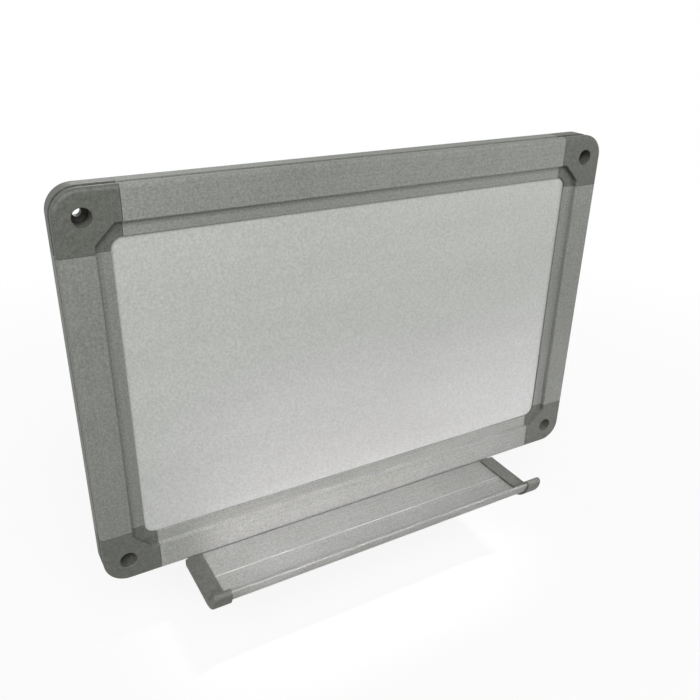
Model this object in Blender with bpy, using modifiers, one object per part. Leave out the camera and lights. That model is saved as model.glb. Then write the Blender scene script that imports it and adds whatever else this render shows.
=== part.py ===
"""Magnetic whiteboard with an aluminium frame, plastic corners and a sliding pen tray.

Frame of the part: +X to the right as a reader sees the board, +Y into the wall, +Z up. The wall plane
is y = 0, and the origin lies on the back face of the top rail, at the middle of its length.
All sizes are in metres. Two places closer than MERGE_DISTANCE count as one.
"""

import math

import bmesh
import bpy
from mathutils import Matrix

# Whole board
BOARD_WIDTH = 0.450
BOARD_HEIGHT = 0.300

# Clearances
FIT_GAP = 0.0003
STOP_GAP = 0.0003
CUT_OVERRUN = 0.002
MERGE_DISTANCE = 0.00001

# Rail section, measured inwards from the outer edge of the board
RAISED_FACE_WIDTH = 0.0235
STEP_DEPTH = 0.0040
STEP_ROUNDING = 0.0010
BAND_WIDTH = 0.0101
LIP_THICKNESS = 0.0015
REAR_LIP_WIDTH = 0.0080
REAR_LIP_THICKNESS = 0.0015
REAR_LIP_RECESS = 0.0039
CHANNEL_REACH = 0.0106
RAIL_WALL = 0.0015
RAIL_REAR_WALL = 0.0020
FRONT_ROUNDING = 0.0030
BACK_ROUNDING = 0.0010

# Slot in the outer edge of a rail
SLOT_SETBACK = 0.0055
SLOT_MOUTH_WIDTH = 0.0050
SLOT_LIP_THICKNESS = 0.0018
SLOT_INNER_WIDTH = 0.0110
SLOT_DEPTH = 0.0075

# Panel
SHEET_THICKNESS = 0.0005
CORE_THICKNESS = 0.0090
BACKING_THICKNESS = 0.0004

# Corner cap
CAP_MARGIN = 0.0004
CORNER_RADIUS = 0.0180
OPENING_RADIUS = 0.0080
FACE_CHAMFER = 0.0135
CAP_GROOVE_DEPTH = 0.0030
SCREW_SEAT_DIAMETER = 0.0125
SCREW_SEAT_DEPTH = 0.0160
SCREW_HOLE_DIAMETER = 0.0060
CAP_END_WALL = 0.0025
CAP_FRONT_WALL = 0.0030
CAP_POCKET_WALL = 0.0020
CAP_BOSS_RADIUS = 0.0090
LEG_LENGTH = 0.0250
LEG_TIP_CHAMFER = 0.0015

# Corner screw
SCREW_HEAD_DIAMETER = 0.0062
SCREW_HEAD_HEIGHT = 0.0017
SCREW_SHANK_DIAMETER = 0.0030
SCREW_LENGTH = 0.0120
SCREW_POINT_LENGTH = 0.0025
SCREW_POINT_DIAMETER = 0.0008
SCREW_SETBACK = 0.0120
SCREW_RECESS_WIDTH = 0.0007
SCREW_RECESS_LENGTH = 0.0034
SCREW_RECESS_DEPTH = 0.0010

# Pen tray
SLIDE_LEFT = 0.0212
SLIDE_RIGHT = 0.0442
TRAY_FLOOR_THICKNESS = 0.0020
TRAY_FLOOR_REACH = 0.0440
TRAY_REAR_REACH = 0.0140
LIP_INNER_RADIUS = 0.0200
LIP_MID_THICKENING = 0.0012
LIP_TURN = math.radians(74.0)
RIDGE_REACH = 0.0283
RIDGE_WIDTH = 0.0010
RIDGE_HEIGHT = 0.0008
TONGUE_THICKNESS = 0.0016
FOOT_PLAY = 0.0015
FOOT_THICKNESS = 0.0016

# Tray end cap
END_CAP_LENGTH = 0.0140
END_CAP_END_WALL = 0.0030
END_CAP_WALL = 0.0017
END_CAP_SETBACK = 0.0010

# Facets of the round shapes
ROUNDING_STEPS = 4
CORNER_STEPS = 10
LIP_STEPS = 14
HOLE_SIDES = 32
SCREW_SIDES = 16

# Derived depths, which the panel sets
panel_depth = SHEET_THICKNESS + CORE_THICKNESS + BACKING_THICKNESS + 4 * FIT_GAP
frame_depth = STEP_DEPTH + LIP_THICKNESS + panel_depth + REAR_LIP_THICKNESS + REAR_LIP_RECESS

# Derived places, along Y from the wall plane
front_face_y = -frame_depth
band_y = front_face_y + STEP_DEPTH
lip_back_y = band_y + LIP_THICKNESS
sheet_front_y = lip_back_y + FIT_GAP
sheet_back_y = sheet_front_y + SHEET_THICKNESS
core_front_y = sheet_back_y + FIT_GAP
core_back_y = core_front_y + CORE_THICKNESS
backing_front_y = core_back_y + FIT_GAP
backing_back_y = backing_front_y + BACKING_THICKNESS
rear_lip_front_y = backing_back_y + FIT_GAP
rear_lip_back_y = rear_lip_front_y + REAR_LIP_THICKNESS
mouth_front_y = front_face_y + SLOT_SETBACK
mouth_back_y = mouth_front_y + SLOT_MOUTH_WIDTH
mouth_middle_y = (mouth_front_y + mouth_back_y) / 2
slot_front_y = mouth_middle_y - SLOT_INNER_WIDTH / 2
slot_back_y = mouth_middle_y + SLOT_INNER_WIDTH / 2

# Derived places, inwards from the outer edge
visible_width = RAISED_FACE_WIDTH + BAND_WIDTH
channel_floor = visible_width - CHANNEL_REACH
rear_lip_end = channel_floor + REAR_LIP_WIDTH
chamber_outer = SLOT_DEPTH + RAIL_WALL
chamber_inner = min(channel_floor, RAISED_FACE_WIDTH) - RAIL_WALL
chamber_middle = (chamber_outer + chamber_inner) / 2
cap_size = visible_width + OPENING_RADIUS + CAP_MARGIN

# Derived places of the board in the part's frame
left_x = -BOARD_WIDTH / 2
right_x = BOARD_WIDTH / 2
top_z = channel_floor / 2
bottom_z = top_z - BOARD_HEIGHT

# Derived places of the tray: its ends between the corner caps, and heights above the bottom edge
tray_left_x = left_x + cap_size + STOP_GAP + SLIDE_LEFT
tray_right_x = right_x - cap_size - STOP_GAP - SLIDE_RIGHT
tray_middle_x = (tray_left_x + tray_right_x) / 2
tray_length = tray_right_x - tray_left_x
tray_floor_top = -FIT_GAP
lip_centre_height = tray_floor_top + LIP_INNER_RADIUS

# Corners of the board: name, direction inwards along X and Z, and the turn about Y of a cap there
CORNERS = (
    ("bottom_left", 1, 1, 0),
    ("top_left", 1, -1, math.pi / 2),
    ("top_right", -1, -1, math.pi),
    ("bottom_right", -1, 1, -math.pi / 2),
)


def clear_scene():
    """Remove every object that the file starts with."""
    for item in list(bpy.data.objects):
        bpy.data.objects.remove(item, do_unlink=True)


def new_collection(name):
    """Make a collection below the scene's own."""
    group = bpy.data.collections.new(name)
    bpy.context.scene.collection.children.link(group)
    return group


clear_scene()
BOARD = new_collection("magnetic_whiteboard")
CUTTERS = new_collection("cutters")


def make_material(name, colour, roughness, metallic):
    """A Principled material with the finish of one kind of piece."""
    material = bpy.data.materials.new(name)
    material.use_nodes = True
    shader = material.node_tree.nodes["Principled BSDF"]
    shader.inputs["Base Color"].default_value = (*colour, 1.0)
    shader.inputs["Roughness"].default_value = roughness
    shader.inputs["Metallic"].default_value = metallic
    material.diffuse_color = (*colour, 1.0)
    return material


def dress(piece, colour, roughness, metallic):
    """Give a piece its own material, named for the piece."""
    material = make_material(piece.name + "_finish", colour, roughness, metallic)
    piece.data.materials.clear()
    piece.data.materials.append(material)


def arc(centre, radius, start, end, steps):
    """Points on an arc about centre, from one angle to another, both ends included."""
    turn = (end - start) / steps
    return [
        (centre[0] + radius * math.cos(start + turn * i), centre[1] + radius * math.sin(start + turn * i))
        for i in range(steps + 1)
    ]


def prism(name, outline, thickness, placing):
    """Extrude a flat outline to a closed mesh.

    The outline lies in the local XY plane and the thickness runs along local Z, half on each side.
    """
    curve = bpy.data.curves.new(name + "_outline", "CURVE")
    curve.dimensions = "2D"
    curve.fill_mode = "BOTH"
    curve.extrude = thickness / 2
    spline = curve.splines.new("POLY")
    spline.points.add(len(outline) - 1)
    for point, spot in zip(spline.points, outline):
        point.co = (*spot, 0, 1)
    spline.use_cyclic_u = True
    source = bpy.data.objects.new(name + "_source", curve)
    source.matrix_world = placing
    CUTTERS.objects.link(source)
    bpy.context.view_layer.update()
    evaluated = source.evaluated_get(bpy.context.evaluated_depsgraph_get())
    mesh = bpy.data.meshes.new_from_object(evaluated)
    mesh.transform(placing)
    bpy.data.objects.remove(source, do_unlink=True)
    bpy.data.curves.remove(curve)
    mesh.name = name
    close_mesh(mesh)
    return add_object(name, mesh)


def close_mesh(mesh):
    """Weld the caps of an extruded outline to its sides and point every face outwards."""
    shell = bmesh.new()
    shell.from_mesh(mesh)
    bmesh.ops.remove_doubles(shell, verts=shell.verts, dist=MERGE_DISTANCE)
    bmesh.ops.recalc_face_normals(shell, faces=shell.faces)
    shell.to_mesh(mesh)
    shell.free()


def add_object(name, mesh, group=None):
    """Put a mesh in the scene as an object of the board, or of another group."""
    piece = bpy.data.objects.new(name, mesh)
    (group or BOARD).objects.link(piece)
    return piece


def as_cutter(piece):
    """Move a piece to the cutters: not rendered and drawn as wires."""
    for group in list(piece.users_collection):
        group.objects.unlink(piece)
    CUTTERS.objects.link(piece)
    piece.hide_render = True
    piece.display_type = "WIRE"
    return piece


def block(name, low, high):
    """A box from its lowest to its highest corner."""
    size = [b - a for a, b in zip(low, high)]
    centre = [(a + b) / 2 for a, b in zip(low, high)]
    shell = bmesh.new()
    bmesh.ops.create_cube(shell, size=1.0, matrix=Matrix.Translation(centre) @ Matrix.Diagonal((*size, 1.0)))
    mesh = bpy.data.meshes.new(name)
    shell.to_mesh(mesh)
    shell.free()
    return add_object(name, mesh)


def rod_along_y(name, centre, radius, start_y, end_y):
    """A cylinder along Y at the (x, z) of centre."""
    shell = bmesh.new()
    placing = Matrix.Translation((centre[0], (start_y + end_y) / 2, centre[1])) @ Matrix.Rotation(
        math.pi / 2, 4, "X"
    )
    bmesh.ops.create_cone(
        shell,
        cap_ends=True,
        segments=HOLE_SIDES,
        radius1=radius,
        radius2=radius,
        depth=end_y - start_y,
        matrix=placing,
    )
    mesh = bpy.data.meshes.new(name)
    shell.to_mesh(mesh)
    shell.free()
    return add_object(name, mesh)


def combine(piece, other, operation):
    """Add a live Boolean to a piece and put the other piece with the cutters."""
    modifier = piece.modifiers.new(operation.lower() + "_" + other.name, "BOOLEAN")
    modifier.operation = operation
    modifier.solver = "EXACT"
    modifier.object = as_cutter(other)


def settle(piece):
    """Replace a piece's mesh by what its modifiers make of it."""
    bpy.context.view_layer.update()
    evaluated = piece.evaluated_get(bpy.context.evaluated_depsgraph_get())
    mesh = bpy.data.meshes.new_from_object(evaluated)
    mesh.name = piece.name
    piece.modifiers.clear()
    piece.data = mesh


def round_edges(piece, belongs, radius, steps):
    """Round the sharp edges of a piece that the test picks by their two end points."""
    shell = bmesh.new()
    shell.from_mesh(piece.data)
    picked = [
        edge
        for edge in shell.edges
        if len(edge.link_faces) == 2
        and edge.calc_face_angle(0.0) > math.radians(40.0)
        and belongs(edge.verts[0].co, edge.verts[1].co)
    ]
    bmesh.ops.bevel(
        shell, geom=picked, offset=radius, segments=steps, profile=0.5, affect="EDGES", clamp_overlap=True
    )
    shell.to_mesh(piece.data)
    shell.free()


def shade(piece):
    """Smooth shading with sharp edges where faces meet at more than 30 degrees."""
    piece.data.shade_smooth()
    piece.data.set_sharp_from_angle(angle=math.radians(30.0))


def near(a, b):
    """True where two lengths agree to within the merge distance."""
    return abs(a - b) < MERGE_DISTANCE


def upright(start_y, end_y):
    """Placing that stands a flat outline up, so that its thickness runs along Y between two places."""
    return Matrix.Translation((0, (start_y + end_y) / 2, 0)) @ Matrix.Rotation(math.pi / 2, 4, "X")


def plate(name, outline, start_y, end_y):
    """A flat outline in X and Z, thick from start_y to end_y."""
    return prism(name, outline, end_y - start_y, upright(start_y, end_y))


def turned(name, profile, sides):
    """A solid of revolution about local Z from its (radius, height) profile, top to bottom."""
    mesh = bpy.data.meshes.new(name)
    mesh.from_pydata([(r, 0, z) for r, z in profile], [(i, i + 1) for i in range(len(profile) - 1)], [])
    piece = add_object(name, mesh)
    turn = piece.modifiers.new("turn", "SCREW")
    turn.axis = "Z"
    turn.steps = sides
    turn.render_steps = sides
    turn.use_merge_vertices = True
    turn.merge_threshold = MERGE_DISTANCE
    turn.use_normal_calculate = True
    settle(piece)
    close_mesh(piece.data)
    return piece


def place(piece, location, rotation=(0, 0, 0)):
    """Set where a piece stands."""
    piece.location = location
    piece.rotation_euler = rotation


# Rails


def rail_outline():
    """Outside of the rail section: x inwards from the outer edge, y from the wall plane."""
    quarter = math.pi / 2
    front_corner = arc(
        (FRONT_ROUNDING, front_face_y + FRONT_ROUNDING), FRONT_ROUNDING, math.pi, 3 * quarter, ROUNDING_STEPS
    )
    step_corner = arc(
        (RAISED_FACE_WIDTH - STEP_ROUNDING, front_face_y + STEP_ROUNDING),
        STEP_ROUNDING,
        -quarter,
        0,
        ROUNDING_STEPS,
    )
    back_corner = arc((BACK_ROUNDING, -BACK_ROUNDING), BACK_ROUNDING, quarter, math.pi, ROUNDING_STEPS)
    return [
        *front_corner,
        *step_corner,
        (RAISED_FACE_WIDTH, band_y),
        (visible_width, band_y),
        (visible_width, lip_back_y),
        (channel_floor, lip_back_y),
        (channel_floor, rear_lip_front_y),
        (rear_lip_end, rear_lip_front_y),
        (rear_lip_end, rear_lip_back_y),
        (channel_floor, rear_lip_back_y),
        (channel_floor, 0),
        *back_corner,
        (0, mouth_back_y),
        (SLOT_LIP_THICKNESS, mouth_back_y),
        (SLOT_LIP_THICKNESS, slot_back_y),
        (SLOT_DEPTH, slot_back_y),
        (SLOT_DEPTH, slot_front_y),
        (SLOT_LIP_THICKNESS, slot_front_y),
        (SLOT_LIP_THICKNESS, mouth_front_y),
        (0, mouth_front_y),
    ]


def rail_hollows(name, length):
    """Cutters for the chamber that holds the corner legs and for the small chamber behind the slot."""
    half = length / 2 + CUT_OVERRUN
    front = front_face_y + RAIL_WALL
    chamber = block(name + "_chamber", (chamber_outer, front, -half), (chamber_inner, -RAIL_REAR_WALL, half))
    low = (RAIL_WALL, slot_back_y + RAIL_WALL, -half)
    lightening = block(name + "_lightening", low, (SLOT_DEPTH, -RAIL_REAR_WALL, half))
    return [chamber, lightening]


def countersink(name, along):
    """Cutter for a screw's seat in the back wall of a rail, at a place along the rail."""
    head = SCREW_HEAD_DIAMETER / 2 + FIT_GAP
    shank = SCREW_SHANK_DIAMETER / 2 + FIT_GAP
    bottom = -RAIL_REAR_WALL - CUT_OVERRUN
    profile = [
        (0, CUT_OVERRUN),
        (head, CUT_OVERRUN),
        (head, 0),
        (shank, -SCREW_HEAD_HEIGHT),
        (shank, bottom),
        (0, bottom),
    ]
    piece = turned(name, profile, SCREW_SIDES)
    piece.data.transform(
        Matrix.Translation((chamber_middle, -FIT_GAP, along)) @ Matrix.Rotation(-math.pi / 2, 4, "X")
    )
    return piece


def make_rail(name, span, location, turn):
    """A hollow rail between two corner caps, turned about Y so that local X points inwards."""
    length = span - 2 * (cap_size + FIT_GAP)
    rail = prism(name, rail_outline(), length, Matrix.Identity(4))
    seat = span / 2 - cap_size - SCREW_SETBACK
    seats = [countersink(name + "_countersink_a", seat), countersink(name + "_countersink_b", -seat)]
    for cutter in (*rail_hollows(name, length), *seats):
        combine(rail, cutter, "DIFFERENCE")
    settle(rail)
    place(rail, location, (0, turn, 0))
    dress(rail, (0.42, 0.43, 0.41), 0.35, 1.0)
    shade(rail)
    return rail


# Corner caps, modelled with the board's corner at the origin and the board towards +X and +Z


def cap_outline(inset):
    """Two outer sides of the corner, set in by a width, with the rounded corner between them."""
    corner = (CORNER_RADIUS, CORNER_RADIUS)
    curve = arc(corner, CORNER_RADIUS - inset, -math.pi / 2, -math.pi, CORNER_STEPS)
    return [(cap_size, cap_size), (cap_size, inset), *curve, (inset, cap_size)]


def on_outer_rim(a, b, y):
    """True for an edge of the cap's outer rim in the plane at y."""
    flat = near(a.y, y) and near(b.y, y)
    at_side_end = near(a.x, cap_size) and near(b.x, cap_size)
    at_top_end = near(a.z, cap_size) and near(b.z, cap_size)
    return flat and not at_side_end and not at_top_end


def on_step(point):
    """True for a point on the top edge of the cap's step."""
    chamfer = near(point.x + point.z, 2 * RAISED_FACE_WIDTH + FACE_CHAMFER)
    inside = min(point.x, point.z) > RAISED_FACE_WIDTH - FIT_GAP
    straight = near(min(point.x, point.z), RAISED_FACE_WIDTH)
    return near(point.y, front_face_y) and inside and (chamfer or straight)


def step_cutter():
    """What is lower than the raised face: the inner band, with the face's slanted inner corner."""
    far = cap_size + CUT_OVERRUN
    near_edge = RAISED_FACE_WIDTH
    start = near_edge + FACE_CHAMFER
    outline = [(start, near_edge), (far, near_edge), (far, far), (near_edge, far), (near_edge, start)]
    return plate("cap_step", outline, front_face_y - CUT_OVERRUN, band_y)


def opening_cutter():
    """The board's visible corner, rounded."""
    far = cap_size + CUT_OVERRUN
    centre = visible_width + OPENING_RADIUS
    curve = arc((centre, centre), OPENING_RADIUS, math.pi, 3 * math.pi / 2, CORNER_STEPS)
    outline = [(visible_width, far), *curve, (far, visible_width), (far, far)]
    return plate("cap_opening", outline, front_face_y - CUT_OVERRUN, CUT_OVERRUN)


def groove_cutter():
    """The slot of the rails, carried shallow round the corner."""
    low = -CUT_OVERRUN
    far = cap_size + CUT_OVERRUN
    inner = CAP_GROOVE_DEPTH
    corner = (CORNER_RADIUS, CORNER_RADIUS)
    curve = arc(corner, CORNER_RADIUS - inner, -math.pi / 2, -math.pi, CORNER_STEPS)
    outline = [(low, low), (far, low), (far, inner), *curve, (inner, far), (low, far)]
    return plate("cap_groove", outline, mouth_front_y, mouth_back_y)


def square_cutter(name, start, start_y, end_y):
    """The square from start to beyond the cap in X and Z, between two depths."""
    far = cap_size + CUT_OVERRUN
    return block(name, (start, start_y, start), (far, end_y, far))


def swap_sides(piece):
    """Mirror a cutter or leg about the cap's diagonal, X for Z."""
    swap = Matrix(((0, 0, 1, 0), (0, 1, 0, 0), (1, 0, 0, 0), (0, 0, 0, 1)))
    piece.data.transform(swap)
    piece.data.flip_normals()
    return piece


def arm_pocket(name):
    """Hollow behind one arm of the cap, open at the back."""
    low = (CORNER_RADIUS + CAP_BOSS_RADIUS, front_face_y + CAP_FRONT_WALL, CAP_GROOVE_DEPTH + CAP_POCKET_WALL)
    high = (cap_size - CAP_END_WALL, CUT_OVERRUN, channel_floor - CAP_POCKET_WALL)
    return block(name, low, high)


def leg(name):
    """The leg that pushes into a rail's chamber, with a chamfered tip."""
    low = (cap_size - CAP_END_WALL / 2, front_face_y + RAIL_WALL + FIT_GAP, chamber_outer + FIT_GAP)
    high = (cap_size + LEG_LENGTH, -RAIL_REAR_WALL - FIT_GAP, chamber_inner - FIT_GAP)
    piece = block(name, low, high)
    round_edges(piece, lambda a, b: near(a.x, high[0]) and near(b.x, high[0]), LEG_TIP_CHAMFER, 1)
    return piece


def pilot(name):
    """Hole in a leg for a corner screw."""
    bottom = -SCREW_LENGTH - 2 * FIT_GAP
    centre = (cap_size + SCREW_SETBACK, chamber_middle)
    return rod_along_y(name, centre, SCREW_SHANK_DIAMETER / 2 + FIT_GAP, bottom, CUT_OVERRUN)


def cap_mesh():
    """Mesh of one corner cap with both of its legs."""
    cap = plate("corner_cap", cap_outline(0), front_face_y, 0)
    round_edges(cap, lambda a, b: on_outer_rim(a, b, front_face_y), FRONT_ROUNDING, ROUNDING_STEPS)
    round_edges(cap, lambda a, b: on_outer_rim(a, b, 0), BACK_ROUNDING, ROUNDING_STEPS)
    centre = (CORNER_RADIUS, CORNER_RADIUS)
    seat_y = front_face_y + SCREW_SEAT_DEPTH
    cuts = [
        step_cutter(),
        opening_cutter(),
        square_cutter("cap_channel", channel_floor, lip_back_y, rear_lip_front_y),
        square_cutter("cap_rear_window", rear_lip_end, rear_lip_front_y - CUT_OVERRUN, CUT_OVERRUN),
        square_cutter("cap_rear_recess", channel_floor, rear_lip_back_y, CUT_OVERRUN),
        groove_cutter(),
        rod_along_y("cap_screw_seat", centre, SCREW_SEAT_DIAMETER / 2, front_face_y - CUT_OVERRUN, seat_y),
        rod_along_y("cap_screw_hole", centre, SCREW_HOLE_DIAMETER / 2, front_face_y, CUT_OVERRUN),
        arm_pocket("cap_pocket_a"),
        swap_sides(arm_pocket("cap_pocket_b")),
    ]
    for cutter in cuts:
        combine(cap, cutter, "DIFFERENCE")
    for part in (leg("cap_leg_a"), swap_sides(leg("cap_leg_b"))):
        combine(cap, part, "UNION")
    for cutter in (pilot("cap_pilot_a"), swap_sides(pilot("cap_pilot_b"))):
        combine(cap, cutter, "DIFFERENCE")
    settle(cap)
    round_edges(cap, lambda a, b: on_step(a) and on_step(b), STEP_ROUNDING, ROUNDING_STEPS)
    close_mesh(cap.data)
    mesh = cap.data
    bpy.data.objects.remove(cap, do_unlink=True)
    return mesh


def corner_x(side):
    """X of the board's edge from which a direction points inwards."""
    return left_x if side > 0 else right_x


def corner_z(level):
    """Z of the board's edge from which a direction points inwards."""
    return bottom_z if level > 0 else top_z


def make_corner_caps():
    """Four copies of one cap, turned about Y to the corners of the board."""
    mesh = cap_mesh()
    for corner, side, level, turn in CORNERS:
        cap = add_object("corner_cap_" + corner, mesh.copy())
        place(cap, (corner_x(side), 0, corner_z(level)), (0, turn, 0))
        dress(cap, (0.13, 0.135, 0.125), 0.5, 0.0)
        shade(cap)


# Corner screws


def screw_mesh():
    """A countersunk self-tapping screw, head up at the origin, with a cross recess."""
    head = SCREW_HEAD_DIAMETER / 2
    shank = SCREW_SHANK_DIAMETER / 2
    point = SCREW_POINT_DIAMETER / 2
    profile = [
        (0, 0),
        (head, 0),
        (shank, -SCREW_HEAD_HEIGHT),
        (shank, SCREW_POINT_LENGTH - SCREW_LENGTH),
        (point, -SCREW_LENGTH),
        (0, -SCREW_LENGTH),
    ]
    screw = turned("corner_screw", profile, SCREW_SIDES)
    arms = (
        ("recess_a", SCREW_RECESS_LENGTH, SCREW_RECESS_WIDTH),
        ("recess_b", SCREW_RECESS_WIDTH, SCREW_RECESS_LENGTH),
    )
    for name, along, across in arms:
        low = (-along / 2, -across / 2, -SCREW_RECESS_DEPTH)
        high = (along / 2, across / 2, CUT_OVERRUN)
        combine(screw, block(name, low, high), "DIFFERENCE")
    settle(screw)
    close_mesh(screw.data)
    mesh = screw.data
    bpy.data.objects.remove(screw, do_unlink=True)
    return mesh


def make_corner_screws():
    """Two screws at each corner, through the rails' back walls into the legs of the cap."""
    mesh = screw_mesh()
    along = cap_size + SCREW_SETBACK
    for corner, side, level, _ in CORNERS:
        for letter, dx, dz in (("a", along, chamber_middle), ("b", chamber_middle, along)):
            screw = add_object("corner_screw_" + corner + "_" + letter, mesh.copy())
            spot = (corner_x(side) + side * dx, -FIT_GAP, corner_z(level) + level * dz)
            place(screw, spot, (-math.pi / 2, 0, 0))
            dress(screw, (0.55, 0.55, 0.53), 0.3, 1.0)
            shade(screw)


# Panel


def make_layer(name, front_y, back_y, colour, roughness, metallic):
    """One flat layer of the panel, as wide as the channels let it be."""
    edge = channel_floor + FIT_GAP
    low = (left_x + edge, front_y, bottom_z + edge)
    high = (right_x - edge, back_y, top_z - edge)
    layer = block(name, low, high)
    dress(layer, colour, roughness, metallic)
    return layer


def make_panel():
    """The writing sheet, its core and the sheet at the back."""
    make_layer("writing_sheet", sheet_front_y, sheet_back_y, (0.62, 0.63, 0.61), 0.2, 0.0)
    make_layer("core_panel", core_front_y, core_back_y, (0.35, 0.25, 0.16), 0.8, 0.0)
    make_layer("backing_sheet", backing_front_y, backing_back_y, (0.5, 0.51, 0.5), 0.45, 1.0)


# Pen tray, modelled with its slide line at the origin: local y runs to the wall and local z up


def lip_thickness(turn):
    """Thickness of the upturned lip, a little more halfway up than at its root and tip."""
    return TRAY_FLOOR_THICKNESS + LIP_MID_THICKENING * math.sin(math.pi * turn / LIP_TURN)


def forward(reach, height):
    """A point of the tray section, from its reach in front of the front face and its height."""
    return (front_face_y - mouth_middle_y - reach, height)


def lip_side(grow, inner):
    """Points up one side of the lip, grown outwards from the metal."""
    points = []
    for i in range(LIP_STEPS + 1):
        turn = LIP_TURN * i / LIP_STEPS
        radius = LIP_INNER_RADIUS - grow if inner else LIP_INNER_RADIUS + lip_thickness(turn) + grow
        reach = TRAY_FLOOR_REACH + radius * math.sin(turn)
        points.append(forward(reach, lip_centre_height - radius * math.cos(turn)))
    return points


def lip_tip(grow):
    """Round end of the lip, from its outer side over to its inner side."""
    half = lip_thickness(LIP_TURN) / 2
    middle = LIP_INNER_RADIUS + half
    points = []
    for i in range(1, ROUNDING_STEPS * 2):
        angle = math.pi * i / (ROUNDING_STEPS * 2)
        out = middle + (half + grow) * math.cos(angle)
        on = (half + grow) * math.sin(angle)
        reach = TRAY_FLOOR_REACH + out * math.sin(LIP_TURN) + on * math.cos(LIP_TURN)
        points.append(forward(reach, lip_centre_height - out * math.cos(LIP_TURN) + on * math.sin(LIP_TURN)))
    return points


def ridge(grow):
    """The fine ridge along the floor, from its front foot over to its rear foot."""
    half = RIDGE_WIDTH / 2 + grow
    base = tray_floor_top + grow
    angles = [math.pi * i / ROUNDING_STEPS for i in range(ROUNDING_STEPS + 1)]
    return [forward(RIDGE_REACH + half * math.cos(a), base + RIDGE_HEIGHT * math.sin(a)) for a in angles]


def floor_and_lip(grow, rear_reach, with_ridge):
    """Section of the floor and lip from a rear end forwards, grown by a width all round."""
    bottom = tray_floor_top - TRAY_FLOOR_THICKNESS - grow
    outline = [forward(rear_reach, bottom), *lip_side(grow, False), *lip_tip(grow)]
    outline += reversed(lip_side(grow, True))
    if with_ridge:
        outline += ridge(grow)
    outline.append(forward(rear_reach, tray_floor_top + grow))
    return outline


def tongue():
    """The tongue with its foot, from front to back, above the floor and inside the slot."""
    foot_bottom = SLOT_LIP_THICKNESS + FIT_GAP
    foot_top = foot_bottom + FOOT_THICKNESS
    foot = SLOT_INNER_WIDTH / 2 - FOOT_PLAY
    web_front = FIT_GAP - SLOT_MOUTH_WIDTH / 2
    web_back = web_front + TONGUE_THICKNESS
    return [
        (web_front, tray_floor_top),
        (web_front, foot_bottom),
        (-foot, foot_bottom),
        (-foot, foot_top),
        (foot, foot_top),
        (foot, foot_bottom),
        (web_back, foot_bottom),
        (web_back, tray_floor_top),
    ]


def along_x(middle):
    """Placing that extrudes a (y, z) section along X about a middle."""
    turn = Matrix(((0, 0, 1, 0), (1, 0, 0, 0), (0, 1, 0, 0), (0, 0, 0, 1)))
    return Matrix.Translation((middle, 0, 0)) @ turn


def make_tray(carriage):
    """The aluminium tray: floor, ridge and lip in front, tongue under the rail."""
    outline = floor_and_lip(0, -TRAY_REAR_REACH, True)
    outline = outline[:-1] + tongue() + outline[-1:]
    tray = prism("pen_tray", outline, tray_length, along_x(0))
    tray.parent = carriage
    dress(tray, (0.46, 0.47, 0.45), 0.3, 1.0)
    shade(tray)


def make_end_cap(name, side, carriage):
    """A plastic sleeve over one end of the tray, closed at its outer end. Side is -1 or 1."""
    end = tray_length / 2 + FIT_GAP
    outer = end + END_CAP_END_WALL
    inner = outer - END_CAP_LENGTH
    shell = floor_and_lip(FIT_GAP + END_CAP_WALL, END_CAP_SETBACK, False)
    cap = prism(name, shell, END_CAP_LENGTH, along_x(side * (outer + inner) / 2))
    cavity_inner = inner - CUT_OVERRUN
    cavity = prism(
        name + "_cavity",
        floor_and_lip(FIT_GAP, END_CAP_SETBACK - CUT_OVERRUN, True),
        end - cavity_inner,
        along_x(side * (end + cavity_inner) / 2),
    )
    combine(cap, cavity, "DIFFERENCE")
    settle(cap)
    close_mesh(cap.data)
    cap.parent = carriage
    dress(cap, (0.13, 0.135, 0.125), 0.5, 0.0)
    shade(cap)


def make_pen_tray():
    """The tray and its end caps on an empty that stands on the slide line of the slot."""
    carriage = bpy.data.objects.new("pen_tray_slide", None)
    BOARD.objects.link(carriage)
    place(carriage, (tray_middle_x, mouth_middle_y, bottom_z))
    make_tray(carriage)
    make_end_cap("tray_end_cap_left", -1, carriage)
    make_end_cap("tray_end_cap_right", 1, carriage)


def make_frame():
    """The four rails round the panel."""
    middle_z = (top_z + bottom_z) / 2
    make_rail("left_rail", BOARD_HEIGHT, (left_x, 0, middle_z), 0)
    make_rail("top_rail", BOARD_WIDTH, (0, 0, top_z), math.pi / 2)
    make_rail("right_rail", BOARD_HEIGHT, (right_x, 0, middle_z), math.pi)
    make_rail("bottom_rail", BOARD_WIDTH, (0, 0, bottom_z), -math.pi / 2)


def main():
    """Build the whole board."""
    make_panel()
    make_frame()
    make_corner_caps()
    make_corner_screws()
    make_pen_tray()
    bpy.context.view_layer.update()


main()
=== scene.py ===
"""Looks of a small magnetic whiteboard: aluminium rails, plastic corners and a sliding pen tray.

The board hangs on the wall plane y = 0 and faces -Y. +X runs to the reader's right and +Z up, and all
sizes are in metres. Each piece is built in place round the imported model, from the boxes of its nodes.
"""

import logging
import math
from dataclasses import dataclass
from enum import Enum

import bmesh
import bpy
import numpy as np
from bpy.types import Material, Mesh, Node, NodeSocket, NodeTree
from mathutils import Matrix, Vector


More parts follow.
